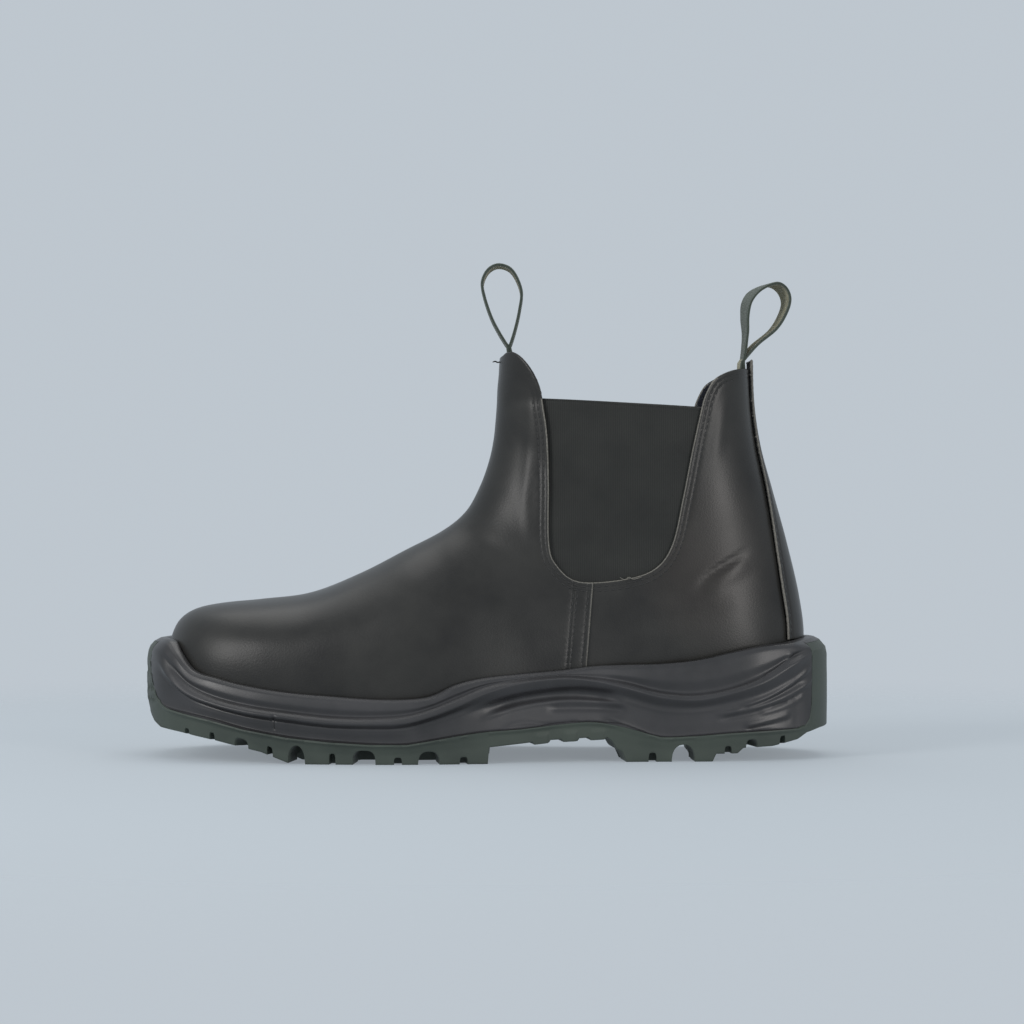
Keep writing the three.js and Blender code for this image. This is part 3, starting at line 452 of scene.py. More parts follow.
# The outline's points, outward directions and shares of the sole's length at some ways around it.
def outlineAt(way):
    read = lambda table: np.column_stack([np.interp(way, outlineWay, table[:, k]) for k in (0, 1)])
    points, out = read(outlinePoints), read(outlineOut)
    return points, unit(out), (points[:, 0] - soleToe) / soleLength


# Heights of the ledge between outsole and midsole, in straight steps between its rows.
def ledgeAt(share):
    middle = sideLines[(sideLines[:, 0] > toeWrap[-1, 0]) & (sideLines[:, 0] < heelWrap[0, 0]), :2]
    rows = np.vstack([toeWrap, middle, heelWrap])
    return form["cup"] * np.interp(share, rows[:, 0], rows[:, 1])


# Height of the underside at a share of the sole's length, in straight steps between its rows.
def groundAt(share):
    return form["cup"] * np.interp(share, groundLine[:, 0], groundLine[:, 1])


# Heights and outsets of every rail at every station, as rails by stations.
def railTable(share):
    lines = np.vstack([np.zeros(len(share)),
                       form["cup"] * smoothAt(sideLines[:, 0], sideLines[:, 1:], share).T])
    low, high = sideRails[:, 0].astype(int), sideRails[:, 1].astype(int)
    heights = lines[low] + sideRails[:, 2:3] * (lines[high] - lines[low]) + sideRails[:, 3:4] * form["relief"]
    arch = smoothStep(0.46, 0.54, share) * (1 - smoothStep(0.66, 0.70, share))
    heel = smoothStep(0.69, 0.74, share)
    front = 1 - np.minimum(arch + heel, 1)
    plain = sideRails[:, 5:6] * front + sideRails[:, 6:7] * arch + sideRails[:, 7:8] * heel
    ends = (1 - smoothStep(0.015, 0.060, share)) + smoothStep(0.945, 0.972, share)
    return heights, form["relief"] * (plain + (sideRails[:, 4:5] - plain) * ends)


# Which rail, as a number with a fraction, has some height at each station.
def railOfHeight(heights, level):
    return np.clip((level - heights[:-1]) / np.maximum(np.diff(heights, axis=0), 1e-6), 0, 1).sum(axis=0)


# Rails read between their rows: rail is one number for each station.
def readRails(table, rail):
    before, after = neighbours(len(table))
    slope = (table[after] - table[before]) / (after - before)[:, None] * railTension
    i = np.clip(np.floor(rail).astype(int), 0, len(table) - 2)
    t, column = rail - i, np.arange(table.shape[1])
    return cubic(t, table[i, column], table[i + 1, column], slope[i, column], slope[i + 1, column])


# materials

# A Principled material with fixed values on the shader's own sockets, its node tree and its shader.
def makeMaterial(name, **shader):
    material = bpy.data.materials.new(name)
    material.use_nodes = True
    tree = material.node_tree
    main = tree.nodes["Principled BSDF"]
    for socket, value in shader.items():
        main.inputs[socket.replace("_", " ")].default_value = value
    return material, tree, main


# An input takes a number or a colour as its value, or another node's output as a link.
def feed(tree, socket, value):
    if isinstance(value, bpy.types.NodeSocket):
        tree.links.new(value, socket)
    else:
        socket.default_value = value


# One node with its settings and its inputs, each by its name, or by its number after a low line.
def addNode(tree, kind, settings=None, **inputs):
    node = tree.nodes.new(kind)
    for key, value in (settings or {}).items():
        setattr(node, key, value)
    for key, value in inputs.items():
        feed(tree, node.inputs[int(key[1:]) if key[0] == "_" else key.replace("_", " ")], value)
    return node


# Display colour from 0 to 255 as the linear colour that shaders take: (c + 0.055) / 1.055 to the power
# 2.4, or c / 12.92 near black.
def linearColor(red, green, blue):
    value = np.array([red, green, blue]) / 255
    return (*np.where(value > 0.04045, ((value + 0.055) / 1.055) ** 2.4, value / 12.92), 1.0)


# One colour into another: 1 - share of the one and share of the other.
def mixColors(tree, share, one, other):
    return addNode(tree, "ShaderNodeMix", {"data_type": "RGBA"}, _0=share, _6=one, _7=other).outputs[2]


# A value moved from one range into another, straight and held at both ends.
def rangeOf(tree, value, fromLow, fromHigh, toLow, toHigh):
    return addNode(tree, "ShaderNodeMapRange", None, Value=value, From_Min=fromLow, From_Max=fromHigh,
                   To_Min=toLow, To_Max=toHigh).outputs[0]


# Noise of some scale, in octaves that each weigh roughness times the one before.
def noiseOf(tree, place, scale, detail=3.0, roughness=0.5):
    return addNode(tree, "ShaderNodeTexNoise", None, Vector=place, Scale=scale, Detail=detail,
                   Roughness=roughness).outputs[0]


# Normals tilted by a field of heights, over the normals of another bump.
def bumpOf(tree, height, strength, distance, under=None):
    node = addNode(tree, "ShaderNodeBump", None, Height=height, Strength=strength, Distance=distance)
    if under is not None:
        tree.links.new(under, node.inputs["Normal"])
    return node.outputs[0]


# A place in the object's own metres.
def placeOf(tree):
    return addNode(tree, "ShaderNodeTexCoord").outputs["Object"]


# Bands across one direction of a place, bent a little by noise.
def bandsOf(tree, place, direction, scale, distortion, **more):
    return addNode(tree, "ShaderNodeTexWave", {"wave_type": "BANDS", "bands_direction": direction},
                   Vector=place, Scale=scale, Distortion=distortion, **more).outputs["Fac"]


# The product of two values, or with a third one added.
def productOf(tree, *values):
    operation = "MULTIPLY" if len(values) == 2 else "MULTIPLY_ADD"
    return addNode(tree, "ShaderNodeMath", {"operation": operation},
                   **{"_" + str(k): value for k, value in enumerate(values)}).outputs[0]


# Base colour from one display colour to another while a value moves over a range.
def paint(tree, main, value, fromLow, fromHigh, low, high):
    share = rangeOf(tree, value, fromLow, fromHigh, 0.0, 1.0)
    feed(tree, main.inputs["Base Color"], mixColors(tree, share, linearColor(*low), linearColor(*high)))


# the third colour, with the place and size at the end, paints a warm highlight on the heel quarter into the
# base colour
leatherLook = {"dark": (33.0, 32.4, 31.2), "light": (44.6, 44.0, 41.8), "warmHighlight": (62, 52, 47),
               "grain": 1150.0, "grainDepth": 0.00012, "roughLow": 0.32, "roughHigh": 0.44,
               "highlightAt": (0.098, -0.045, 0.088), "highlightSize": (0.026, 0.06, 0.034)}
elasticLook = {"dark": (36.1, 36.9, 35.4), "light": (44.8, 45.5, 43.2), "between": (26, 27, 25)}


# Smooth black leather: cells of fine grain, soft wide mottling, and a painted warm highlight on the heel
# quarter.
def makeLeather():
    material, tree, main = makeMaterial("leather", Coat_Weight=0.04, Coat_Roughness=0.25,
                                        Specular_IOR_Level=0.28)
    place = placeOf(tree)
    cells = addNode(tree, "ShaderNodeTexVoronoi", {"feature": "SMOOTH_F1"}, Vector=place,
                    Scale=leatherLook["grain"], Smoothness=0.35).outputs["Distance"]
    fine = noiseOf(tree, place, 2600.0, 2.0)
    wide = noiseOf(tree, place, 38.0, 4.0, 0.55)
    soft = noiseOf(tree, place, 13.0, 2.0)
    shade = mixColors(tree, rangeOf(tree, wide, 0.3, 0.7, 0.0, 1.0), linearColor(*leatherLook["dark"]),
                      linearColor(*leatherLook["light"]))
    heel = addNode(tree, "ShaderNodeMapping", {"vector_type": "TEXTURE"}, Vector=place,
                   Location=leatherLook["highlightAt"], Scale=leatherLook["highlightSize"]).outputs[0]
    near = addNode(tree, "ShaderNodeVectorMath", {"operation": "LENGTH"}, _0=heel).outputs["Value"]
    # painted highlight: the base colour turns warmer around one place on the heel quarter, broken up by soft
    # noise
    highlightShare = productOf(tree, rangeOf(tree, near, 0.2, 1.3, 0.45, 0.0),
                       rangeOf(tree, soft, 0.3, 0.6, 0.3, 1.0))
    colored = mixColors(tree, highlightShare, shade, linearColor(*leatherLook["warmHighlight"]))
    tree.links.new(colored, main.inputs["Base Color"])
    tree.links.new(rangeOf(tree, wide, 0.25, 0.75, leatherLook["roughLow"], leatherLook["roughHigh"]),
                   main.inputs["Roughness"])
    waves = bumpOf(tree, soft, 0.5, 0.0016)
    grain = bumpOf(tree, productOf(tree, fine, 0.35, cells), 0.22, leatherLook["grainDepth"], waves)
    tree.links.new(grain, main.inputs["Normal"])
    return material


# Split fibre at a cut edge of the leather, pale, with a fine fuzz.
def makeRawEdge():
    material, tree, main = makeMaterial("rawEdge", Roughness=0.85, Specular_IOR_Level=0.25)
    place = placeOf(tree)
    fuzz = noiseOf(tree, place, 1400.0, 4.0, 0.7)
    paint(tree, main, fuzz, 0.35, 0.65, (86, 84, 79), (122, 119, 112))
    tree.links.new(bumpOf(tree, fuzz, 0.5, 0.0002), main.inputs["Normal"])
    return material


# Knitted textile lining, near black with a short nap.
def makeLining(name, low, high):
    material, tree, main = makeMaterial(name, Roughness=0.95, Sheen_Weight=0.25, Sheen_Roughness=0.5,
                                        Specular_IOR_Level=0.2)
    place = placeOf(tree)
    nap = noiseOf(tree, place, 900.0, 5.0, 0.7)
    paint(tree, main, nap, 0.35, 0.65, low, high)
    tree.links.new(bumpOf(tree, nap, 0.6, 0.0004), main.inputs["Normal"])
    return material


# Elastic: close upright ribs with fine cross threads between them.
def makeElastic():
    material, tree, main = makeMaterial("elastic", Roughness=0.82, Sheen_Weight=0.12, Specular_IOR_Level=0.3)
    place = placeOf(tree)
    ribs = bandsOf(tree, place, "X", 330.0, 0.4, Detail=1.0, Detail_Scale=2.0)
    threads = bandsOf(tree, place, "Z", 620.0, 0.6, Detail=1.0)
    weave = productOf(tree, threads, 0.35, ribs)
    cloud = noiseOf(tree, place, 60.0, 3.0)
    tone = mixColors(tree, rangeOf(tree, cloud, 0.3, 0.7, 0, 1), linearColor(*elasticLook["dark"]),
                     linearColor(*elasticLook["light"]))
    tree.links.new(mixColors(tree, rangeOf(tree, weave, 0.2, 1.1, 0.55, 0.0), tone,
                             linearColor(*elasticLook["between"])), main.inputs["Base Color"])
    tree.links.new(bumpOf(tree, weave, 0.35, 0.0002), main.inputs["Normal"])
    return material


# Moulded material: even colour with a fine matt texture and slight flow marks.
def makeMoulded(name, low, high, roughLow, roughHigh, grain, specular):
    material, tree, main = makeMaterial(name, Specular_IOR_Level=specular)
    place = placeOf(tree)
    cloud = noiseOf(tree, place, 30.0, 4.0, 0.6)
    fine = noiseOf(tree, place, 1700.0, 3.0, 0.6)
    paint(tree, main, cloud, 0.3, 0.7, low, high)
    tree.links.new(rangeOf(tree, cloud, 0.3, 0.7, roughLow, roughHigh), main.inputs["Roughness"])
    tree.links.new(bumpOf(tree, fine, 0.3, grain), main.inputs["Normal"])
    return material


# Woven webbing by its own UV, in millimetres: across the band and along it.
def makeWebbing(name, low, high):
    material, tree, main = makeMaterial(name, Roughness=0.88, Sheen_Weight=0.2, Specular_IOR_Level=0.25)
    place = addNode(tree, "ShaderNodeUVMap", {"uv_map": "weave"}).outputs[0]
    weave = productOf(tree, bandsOf(tree, place, "Y", 0.55, 0.5), 0.6, bandsOf(tree, place, "X", 0.42, 0.3))
    paint(tree, main, weave, 0.1, 1.4, low, high)
    tree.links.new(bumpOf(tree, weave, 0.6, 0.0003), main.inputs["Normal"])
    return material


# Waxed thread: a fine twist across each stitch.
def makeThread():
    material, tree, main = makeMaterial("thread", Specular_IOR_Level=0.5)
    place = placeOf(tree)
    twist = noiseOf(tree, place, 3000.0, 2.0)
    tree.links.new(mixColors(tree, twist, linearColor(22, 22, 22), linearColor(42, 41, 40)),
                   main.inputs["Base Color"])
    tree.links.new(rangeOf(tree, twist, 0.3, 0.7, 0.55, 0.75), main.inputs["Roughness"])
    return material


leather, rawEdge, thread = makeLeather(), makeRawEdge(), makeThread()
lining = makeLining("lining", (22, 24, 30), (34, 36, 44))
footbed = makeLining("footbed", (30, 30, 30), (46, 46, 45))
elastic = makeElastic()
moulded = makeMoulded("mouldedMidsole", (38.3, 37.9, 38.7), (50.4, 49.6, 51.3), 0.34, 0.48, 0.00008, 0.5)
rubber = makeMoulded("outsoleRubber", (50.0, 57.1, 51.2), (64.6, 72.5, 65.2), 0.5, 0.68, 0.00012, 0.45)
webbingFace = makeWebbing("webbingFace", (46, 53, 47), (88, 97, 86))
webbingBack = makeWebbing("webbingBack", (104, 102, 82), (164, 160, 132))
print("materials made")


# leather panels

panel = {
    "rows": 235, "columns": 200, "quarterRows": 180, "quarterColumns": 220, "creasePlane": -38.0,
    "edgeRound": 0.8, "edgeDrop": 0.5, "rawWidth": 0.5, "rawTop": 166.0, "grooveDepth": 0.22,
    "grooveWidth": 0.5, "tabBend": 0.4, "tabBendHeight": 156.5, "tabBendWidth": 3.2,
    "rows from the gore": (2.0, 3.9), "rows from the seam": (2.1, 6.9, 8.6), "lap": 9.0,
    "lasting": 22.0, "lastingHeight": 37.0, "lightBelow": 157.0,
}
# creases: depth in millimetres, width, how deep the medial one is, and a line in the photograph's pixels
creases = [
    (1.0, 1.9, 0.6, [(750, 551), (735, 560), (717, 571), (706, 580), (698, 591)]),
    (-0.45, 4.0, 0.6, [(752, 562), (738, 572), (722, 583), (712, 596)]),
    (0.22, 4.5, 0.9, [(470, 535), (492, 548), (520, 556)]),
    (-0.40, 3.0, 0.5, [(530, 398), (531, 425), (529, 465), (526, 500), (529, 540)]),
    (-0.35, 3.5, 0.5, [(729, 388), (726, 410), (721, 435), (716, 462)]),
    (0.30, 6.0, 0.9, [(430, 552), (462, 580), (500, 596)]),
    (0.30, 6.5, 0.8, [(385, 585), (420, 612), (452, 640)]),
    (-0.30, 6.0, 0.8, [(408, 575), (446, 604), (480, 622)]),
    (0.28, 5.0, 0.7, [(640, 622), (690, 618), (740, 604)]),
]


# How far the leather stands out or in, in millimetres: a bell across each crease, turned over beside it
# into a soft ridge, and faded by a sine along its length.
def creaseRelief(points):
    flat = points[:, [0, 2]]
    medial = points[:, 1] > 0
    relief = np.zeros(len(points))
    for depth, width, other, line in creases:
        line = softLine(fromPhoto(line, panel["creasePlane"]), 24)
        away, along = lineDistance(line, flat)
        length = np.linalg.norm(np.diff(line, axis=0), axis=1).sum()
        fade = np.sin(np.pi * np.clip(along / length, 0.02, 0.98)) ** 0.7
        shape = (1 - 0.9 * (away / width) ** 2) * bell(away, width)
        relief -= depth * shape * fade * np.where(medial, other, 1.0)
    return relief


# A free edge rounded down by a square over its last part, and a bell-shaped groove for each row of
# stitches, by the distance from the edge.
def edgeRelief(distance, lines):
    rounded = -panel["edgeDrop"] * np.clip(1 - distance / panel["edgeRound"], 0, 1) ** 2
    for place in lines:
        rounded = rounded - panel["grooveDepth"] * bell(distance - place, panel["grooveWidth"])
    return rounded


# Splits needed to carry rounded edges and grooves at these distances.
def edgeLevels(lines):
    levels = [0.25, panel["rawWidth"], panel["edgeRound"]]
    for place in lines:
        levels += [place - panel["grooveWidth"], place, place + panel["grooveWidth"]]
    return levels


# The lasted leather between two ways along the last: points, outward normals and the fields that the
# panels are cut by, in columns 6 opening, 7 seam, 8 under the foot.
def leatherTable(grow, start, end, rows, columns):
    points, faces = lastSurface(grow, rows, columns, start, end)
    normals = vertexNormals(points, faces)
    inset = outlinePoints[::8] - panel["lasting"] * outlineOut[::8]
    away, _ = lineDistance(inset, points[:, :2])
    under = np.where(insideOf(inset[:-1], points[:, :2]), -away, away)
    under = np.maximum(under, points[:, 2] - panel["lastingHeight"])
    table = np.column_stack([points, normals, openingField(points), seamField(points), under])
    return table, faces


# The mean of one column over each face's corners.
def mean(table, faces, column):
    return table[faces, column].mean(axis=1)


# Triangles split at each of some levels of one column.
def splitAll(table, faces, column, levels):
    for level in levels:
        table, faces = splitAt(table, faces, column, level)
    return table, faces


# The vamp with its front tab: one skin from the toe to its rear edge.
def buildVamp():
    table, faces = leatherTable(0.0, 0.5, lastTravel, panel["rows"], panel["columns"])
    near = mean(table, faces, 7) > -4
    table, faces = keepFaces(table, faces, near)
    table, faces = splitAll(table, faces, 6, [0.0] + edgeLevels(panel["rows from the gore"]))
    table, faces = splitAll(table, faces, 7, [0.0] + edgeLevels(panel["rows from the seam"]))
    table, faces = splitAt(table, faces, 8, 0.0)
    kept = (mean(table, faces, 6) > 0) & (mean(table, faces, 7) > 0) & (mean(table, faces, 8) > 0)
    table, faces = keepFaces(table, faces, kept)
    below = 1 - smoothStep(panel["lightBelow"], panel["lightBelow"] + 6, table[:, 2])
    relief = creaseRelief(table[:, :3]) + edgeRelief(table[:, 7], panel["rows from the seam"])
    relief += edgeRelief(table[:, 6], ()) + below * (
        edgeRelief(table[:, 6], panel["rows from the gore"]) - edgeRelief(table[:, 6], ()))
    # the tab bends a little outward above the gore
    tab = smoothStep(30, 24, table[:, 0]) * smoothStep(7, 13, table[:, 0])
    relief -= panel["tabBend"] * bell(table[:, 2] - panel["tabBendHeight"], panel["tabBendWidth"]) * tab
    points = table[:, :3] + relief[:, None] * table[:, 3:6]
    light = (mean(table, faces, 6) < panel["rawWidth"]) & (mean(table, faces, 2) < panel["lightBelow"])
    light |= mean(table, faces, 7) < panel["rawWidth"]
    return points, faces, np.where(light, 2, 0)


# The quarters: one step lower, running on under the vamp's edge, joined at the back.
def buildQuarters():
    table, faces = leatherTable(-form["seamStep"], lastTravel * 0.35, lastTravel,
                                 panel["quarterRows"], panel["quarterColumns"])
    table, faces = keepFaces(table, faces, mean(table, faces, 7) < panel["lap"] + 3)
    table, faces = splitAll(table, faces, 6, [0.0] + edgeLevels(panel["rows from the gore"]))
    table, faces = splitAt(table, faces, 7, panel["lap"])
    table, faces = splitAt(table, faces, 8, 0.0)
    kept = (mean(table, faces, 6) > 0) & (mean(table, faces, 7) < panel["lap"]) & (mean(table, faces, 8) > 0)
    table, faces = keepFaces(table, faces, kept)
    hidden = smoothStep(0.2, 1.6, table[:, 7])
    back = smoothStep(112, 122, table[:, 0])
    relief = creaseRelief(table[:, :3]) + edgeRelief(table[:, 6], ()) + (1 - back) * (
        edgeRelief(table[:, 6], panel["rows from the gore"]) - edgeRelief(table[:, 6], ()))
    points = table[:, :3] + (relief - 0.35 * hidden)[:, None] * table[:, 3:6]
    light = (mean(table, faces, 6) < panel["rawWidth"]) & (mean(table, faces, 2) < panel["rawTop"])
    return points, faces, np.where(light, 2, 0)


# A wall of some thickness on the inner side of a skin. Its inner side takes the next slot but inner, its
# rim keeps the slot of the skin.
def thicken(piece, thickness, inner=1):
    solid = piece.modifiers.new("wall", "SOLIDIFY")
    solid.thickness = thickness * 0.001
    solid.offset = -1
    solid.use_even_offset = False
    solid.material_offset = inner
    return piece


leatherSlots = [leather, lining, rawEdge, lining]
vampPoints, vampFaces, vampSlots = buildVamp()
vamp = thicken(makeMesh("vamp", vampPoints, vampFaces, leatherSlots, vampSlots), form["wall"] - 0.05)
finishPiece(vamp, "leather", "upper")
quarterPoints, quarterFaces, quarterSlots = buildQuarters()
quarters = thicken(makeMesh("quarters", quarterPoints, quarterFaces, leatherSlots, quarterSlots),
                   form["wall"] - form["seamStep"] - 0.05)
finishPiece(quarters, "leather", "upper")
print("upper made:", len(vampFaces), len(quarterFaces))


# gores
gore = {"outside": -form["wall"] - form["gap"] + 0.2, "thickness": 1.4, "hem": 1.3, "hemDrop": 0.22}


# One gore: the last's own surface inside the leather, cut to the window and its hem, with a stitched
# fold along its top.
def buildGore(sign):
    table, faces = lastSurface(gore["outside"], 210, 230, lastTravel * 0.42, lastTravel)
    normals = vertexNormals(table, faces)
    edge = offsetLine(goreLine, -side["goreHem"])
    window = np.vstack([[[edge[0, 0], goreLine[0, 1]]], edge[2:-2], [[edge[-1, 0], goreLine[-1, 1]]]])
    away, _ = lineDistance(np.vstack([window, window[:1]]), table[:, [0, 2]])
    inside = np.where(insideOf(window, table[:, [0, 2]]), away, -away)
    slope = (goreLine[-1, 1] - goreLine[0, 1]) / (goreLine[-1, 0] - goreLine[0, 0])
    top = goreLine[0, 1] + slope * (table[:, 0] - goreLine[0, 0]) - table[:, 2]
    table = np.column_stack([table, normals, inside, top])
    table, faces = keepFaces(table, faces, sign * mean(table, faces, 1) > 5)
    table, faces = splitAt(table, faces, 6, 0.0)
    table, faces = keepFaces(table, faces, mean(table, faces, 6) > 0)
    table, faces = splitAll(table, faces, 7, (0.35, 0.9, gore["hem"], 1.7))
    relief = -0.35 * np.clip(1 - table[:, 7] / 0.6, 0, 1) ** 2 - gore["hemDrop"] * bell(
        table[:, 7] - gore["hem"], 0.3)
    points = table[:, :3] + relief[:, None] * table[:, 3:6]
    name = "goreLateral" if sign < 0 else "goreMedial"
    piece = thicken(makeMesh(name, points, faces, [elastic]), gore["thickness"], 0)
    return finishPiece(piece, "elastic", "gore_lateral" if sign < 0 else "gore_medial")


buildGore(-1)
buildGore(1)
print("gores made")


# back strip

strip = {"outside": form["gap"] - form["seamStep"] + 1.5, "thickness": 1.45, "width": 36.0, "row": 1.9}
# rise from the cup to the collar, half width
stripEdge = np.array([[0.014, 0.572], [0.207, 0.572], [0.388, 0.510], [0.555, 0.402], [0.694, 0.312],
                      [0.861, 0.258], [0.976, 0.258]])


# The leather strip over the back seam, cut to its outline from behind.
def buildStrip():
    table, faces = lastSurface(strip["outside"], 420, 420, lastTravel * 0.5, lastTravel)
    behind = (mean(table, faces, 0) > 95) & (np.abs(mean(table, faces, 1)) < 26)
    table, faces = keepFaces(table, faces, behind)
    normals = vertexNormals(table, faces)
    low = form["cup"] + stripEdge[0, 0] * (form["height"] - form["cup"])
    high = form["cup"] + stripEdge[-1, 0] * (form["height"] - form["cup"])
    rise = (table[:, 2] - form["cup"]) / (form["height"] - form["cup"])
    half = strip["width"] * smoothAt(stripEdge[:, 0], stripEdge[:, 1], rise)[:, 0]
    inside = np.minimum(half - np.abs(table[:, 1]), high - table[:, 2])
    table = np.column_stack([table, normals, inside, table[:, 2] - low])
    table, faces = splitAll(table, faces, 6, [0.0] + edgeLevels((strip["row"],)))
    table, faces = splitAt(table, faces, 7, 0.0)
    table, faces = keepFaces(table, faces, (mean(table, faces, 6) > 0) & (mean(table, faces, 7) > 0))
    relief = edgeRelief(table[:, 6], (strip["row"],))
    points = table[:, :3] + relief[:, None] * table[:, 3:6]
    light = mean(table, faces, 6) < 0.7 * panel["edgeRound"]
    return points, faces, np.where(light, 2, 0)


stripPoints, stripFaces, stripSlots = buildStrip()
backStrip = thicken(makeMesh("backStrip", stripPoints, stripFaces, leatherSlots, stripSlots),
                    strip["thickness"])
finishPiece(backStrip, "leather", "back_strip")
print("back strip made")


# stitches
stitch = {"length": 2.5, "pitch": 3.1, "radius": 0.36, "sink": 0.02}


# Places, directions and outward normals of one row of stitches: an even line in side view or back view,
# dropped onto the skin along the view.
def stitchRow(tree, line, axis, sign):
    line = evenLine(line, stitch["pitch"])
    middle, way = (line[1:] + line[:-1]) / 2, line[1:] - line[:-1]
    places, ways, outs = [], [], []
    for (a, z), (da, dz) in zip(middle, way):
        start = Vector((a, sign * 150.0, z)) if axis == "side" else Vector((300.0, a, z))
        down = Vector((0, -sign, 0)) if axis == "side" else Vector((-1, 0, 0))
        hit, normal, _, _ = tree.ray_cast(start, down)
        if hit is None:
            continue
        along = Vector((da, 0, dz)) if axis == "side" else Vector((0, da, dz))
        if normal.dot(down) > 0:
            normal = -normal
        along = (along - normal * along.dot(normal)).normalized()
        places.append(hit)
        ways.append(along)
        outs.append(normal)
    return np.array(places).reshape(-1, 3), np.array(ways).reshape(-1, 3), np.array(outs).reshape(-1, 3)


# All stitches as one mesh: a rounded rod of rings, scaled along, across and out of the leather.
def buildStitches(name, rows):
    places, ways, outs = (np.vstack(part) for part in zip(*rows))
    length, radius = stitch["length"], stitch["radius"]
    across = np.cross(outs, ways)
    ring = np.linspace(0, 2 * np.pi, 7, endpoint=False)
    stations = np.array([-0.5, -0.42, -0.2, 0.2, 0.42, 0.5])
    widths = np.array([0.25, 0.75, 1.0, 1.0, 0.75, 0.25])
    dips = np.array([-0.55, -0.2, 0.0, 0.0, -0.2, -0.55])
    local = np.stack([np.repeat(stations * length, 7),
                      np.outer(widths, np.cos(ring)).ravel() * radius,
                      np.outer(widths, np.sin(ring)).ravel() * radius * 0.8
                      + np.repeat(dips, 7) * radius - stitch["sink"]], axis=1)
    ends = np.array([[-0.52 * length, 0, -0.6 * radius], [0.52 * length, 0, -0.6 * radius]])
    local = np.vstack([local, ends])
    points = (places[:, None] + local[None, :, :1] * ways[:, None] + local[None, :, 1:2] * across[:, None]
              + local[None, :, 2:] * outs[:, None]).reshape(-1, 3)
    body = quadsToTriangles(gridQuads(6, 7))
    cap = np.arange(7)
    caps = np.vstack([np.stack([np.full(7, 42), (cap + 1) % 7, cap], 1),
                      np.stack([np.full(7, 43), 35 + cap, 35 + (cap + 1) % 7], 1)])
    one = np.vstack([body, caps])
    faces = (one[None] + 44 * np.arange(len(places))[:, None, None]).reshape(-1, 3)
    # the rod's rings turn from across to out, so its faces are turned to point outward
    first = points[:44]
    volume = np.einsum("ij,ij->i", first[one[:, 0]] - first.mean(0),
                       np.cross(first[one[:, 1]] - first.mean(0), first[one[:, 2]] - first.mean(0))).sum()
    if volume < 0:
        faces = faces[:, ::-1]
    return finishPiece(makeMesh(name, points, faces, [thread]), "leather")


# A skin's triangles, sorted so that rays can be cast at them.
def treeOf(points, faces):
    return BVHTree.FromPolygons(points.tolist(), faces.tolist())


vampTree, quarterTree = treeOf(vampPoints, vampFaces), treeOf(quarterPoints, quarterFaces)
stripTree = treeOf(stripPoints, stripFaces)
stitchRows = []
for sign in (-1, 1):
    for distance in panel["rows from the gore"]:
        line = offsetLine(goreLine, -distance)
        field = seamField(np.column_stack([line[:, 0], line[:, 0], line[:, 1]]))
        onVamp = (field > 1.2) & (line[:, 1] < panel["lightBelow"] + 1)
        stitchRows.append(stitchRow(vampTree, line[onVamp], "side", sign))
        stitchRows.append(stitchRow(quarterTree, line[field < -0.6], "side", sign))
        collar = offsetLine(quarterLine, -distance)
        onCollar = (collar[:, 0] > line[-1, 0]) & (collar[:, 0] < 112)
        stitchRows.append(stitchRow(quarterTree, collar[onCollar], "side", sign))
    for distance in panel["rows from the seam"]:
        foot = form["heelSeat"] + 6
        turn = side["goreTop"] - side["goreDepth"] - 0.6
        line = np.array([[side["seamFront"] - distance, foot],
                         [side["seamFront"] + side["seamLean"] * (turn - form["heelSeat"])
                          / (side["goreTop"] - side["goreDepth"] - form["heelSeat"]) - distance, turn - 4.0]])
        stitchRows.append(stitchRow(vampTree, line, "side", sign))
    rise = np.linspace(stripEdge[0, 0] + 0.01, stripEdge[-1, 0] - 0.012, 60)
    half = strip["width"] * smoothAt(stripEdge[:, 0], stripEdge[:, 1], rise)[:, 0] - strip["row"]
    line = np.column_stack([sign * half, form["cup"] + rise * (form["height"] - form["cup"])])
    stitchRows.append(stitchRow(stripTree, line, "back", 1))
buildStitches("stitches", stitchRows)
print("stitches made:", sum(len(row[0]) for row in stitchRows))


# pull loops
loop = {"width": 18.0, "thickness": 1.3, "tail": 24.0, "across": 22}
# across: share of the bulge, up: share of the height
frontLoop = np.array([[0.00, 0.00], [-0.27, 0.21], [-0.46, 0.39], [-0.62, 0.62], [-0.67, 0.79], [-0.52, 0.94],
                      [-0.24, 1.00], [0.09, 0.93], [0.31, 0.70], [0.27, 0.47], [0.15, 0.22]])
# progress along the band, how far it is turned there, in degrees
frontTurns = [(0.0, 0.0), (1.0, 0.0)]
backTurns = [(0.0, 0.0), (0.14, 1.5), (0.26, 6.0), (0.37, 12.5), (0.48, 10.5), (0.6, 6.5), (0.8, 5.5),
             (1.0, 5.5)]
backLoop = np.array([[0.02, 0.04], [0.07, 0.22], [0.10, 0.42], [0.09, 0.60], [0.14, 0.78], [0.34, 0.92],
                     [0.70, 1.00], [0.93, 0.94], [1.03, 0.80], [0.95, 0.63], [0.73, 0.44], [0.32, 0.25]])


# X of the collar's inner face in the middle plane at some heights, at the front (0) or the back (2).
def innerWall(heights, end):
    _, rows = lastRows(-form["wall"] - form["gap"])
    order = np.argsort(rows[8:, end + 1])
    return np.interp(heights, rows[8:, end + 1][order], rows[8:, end][order])


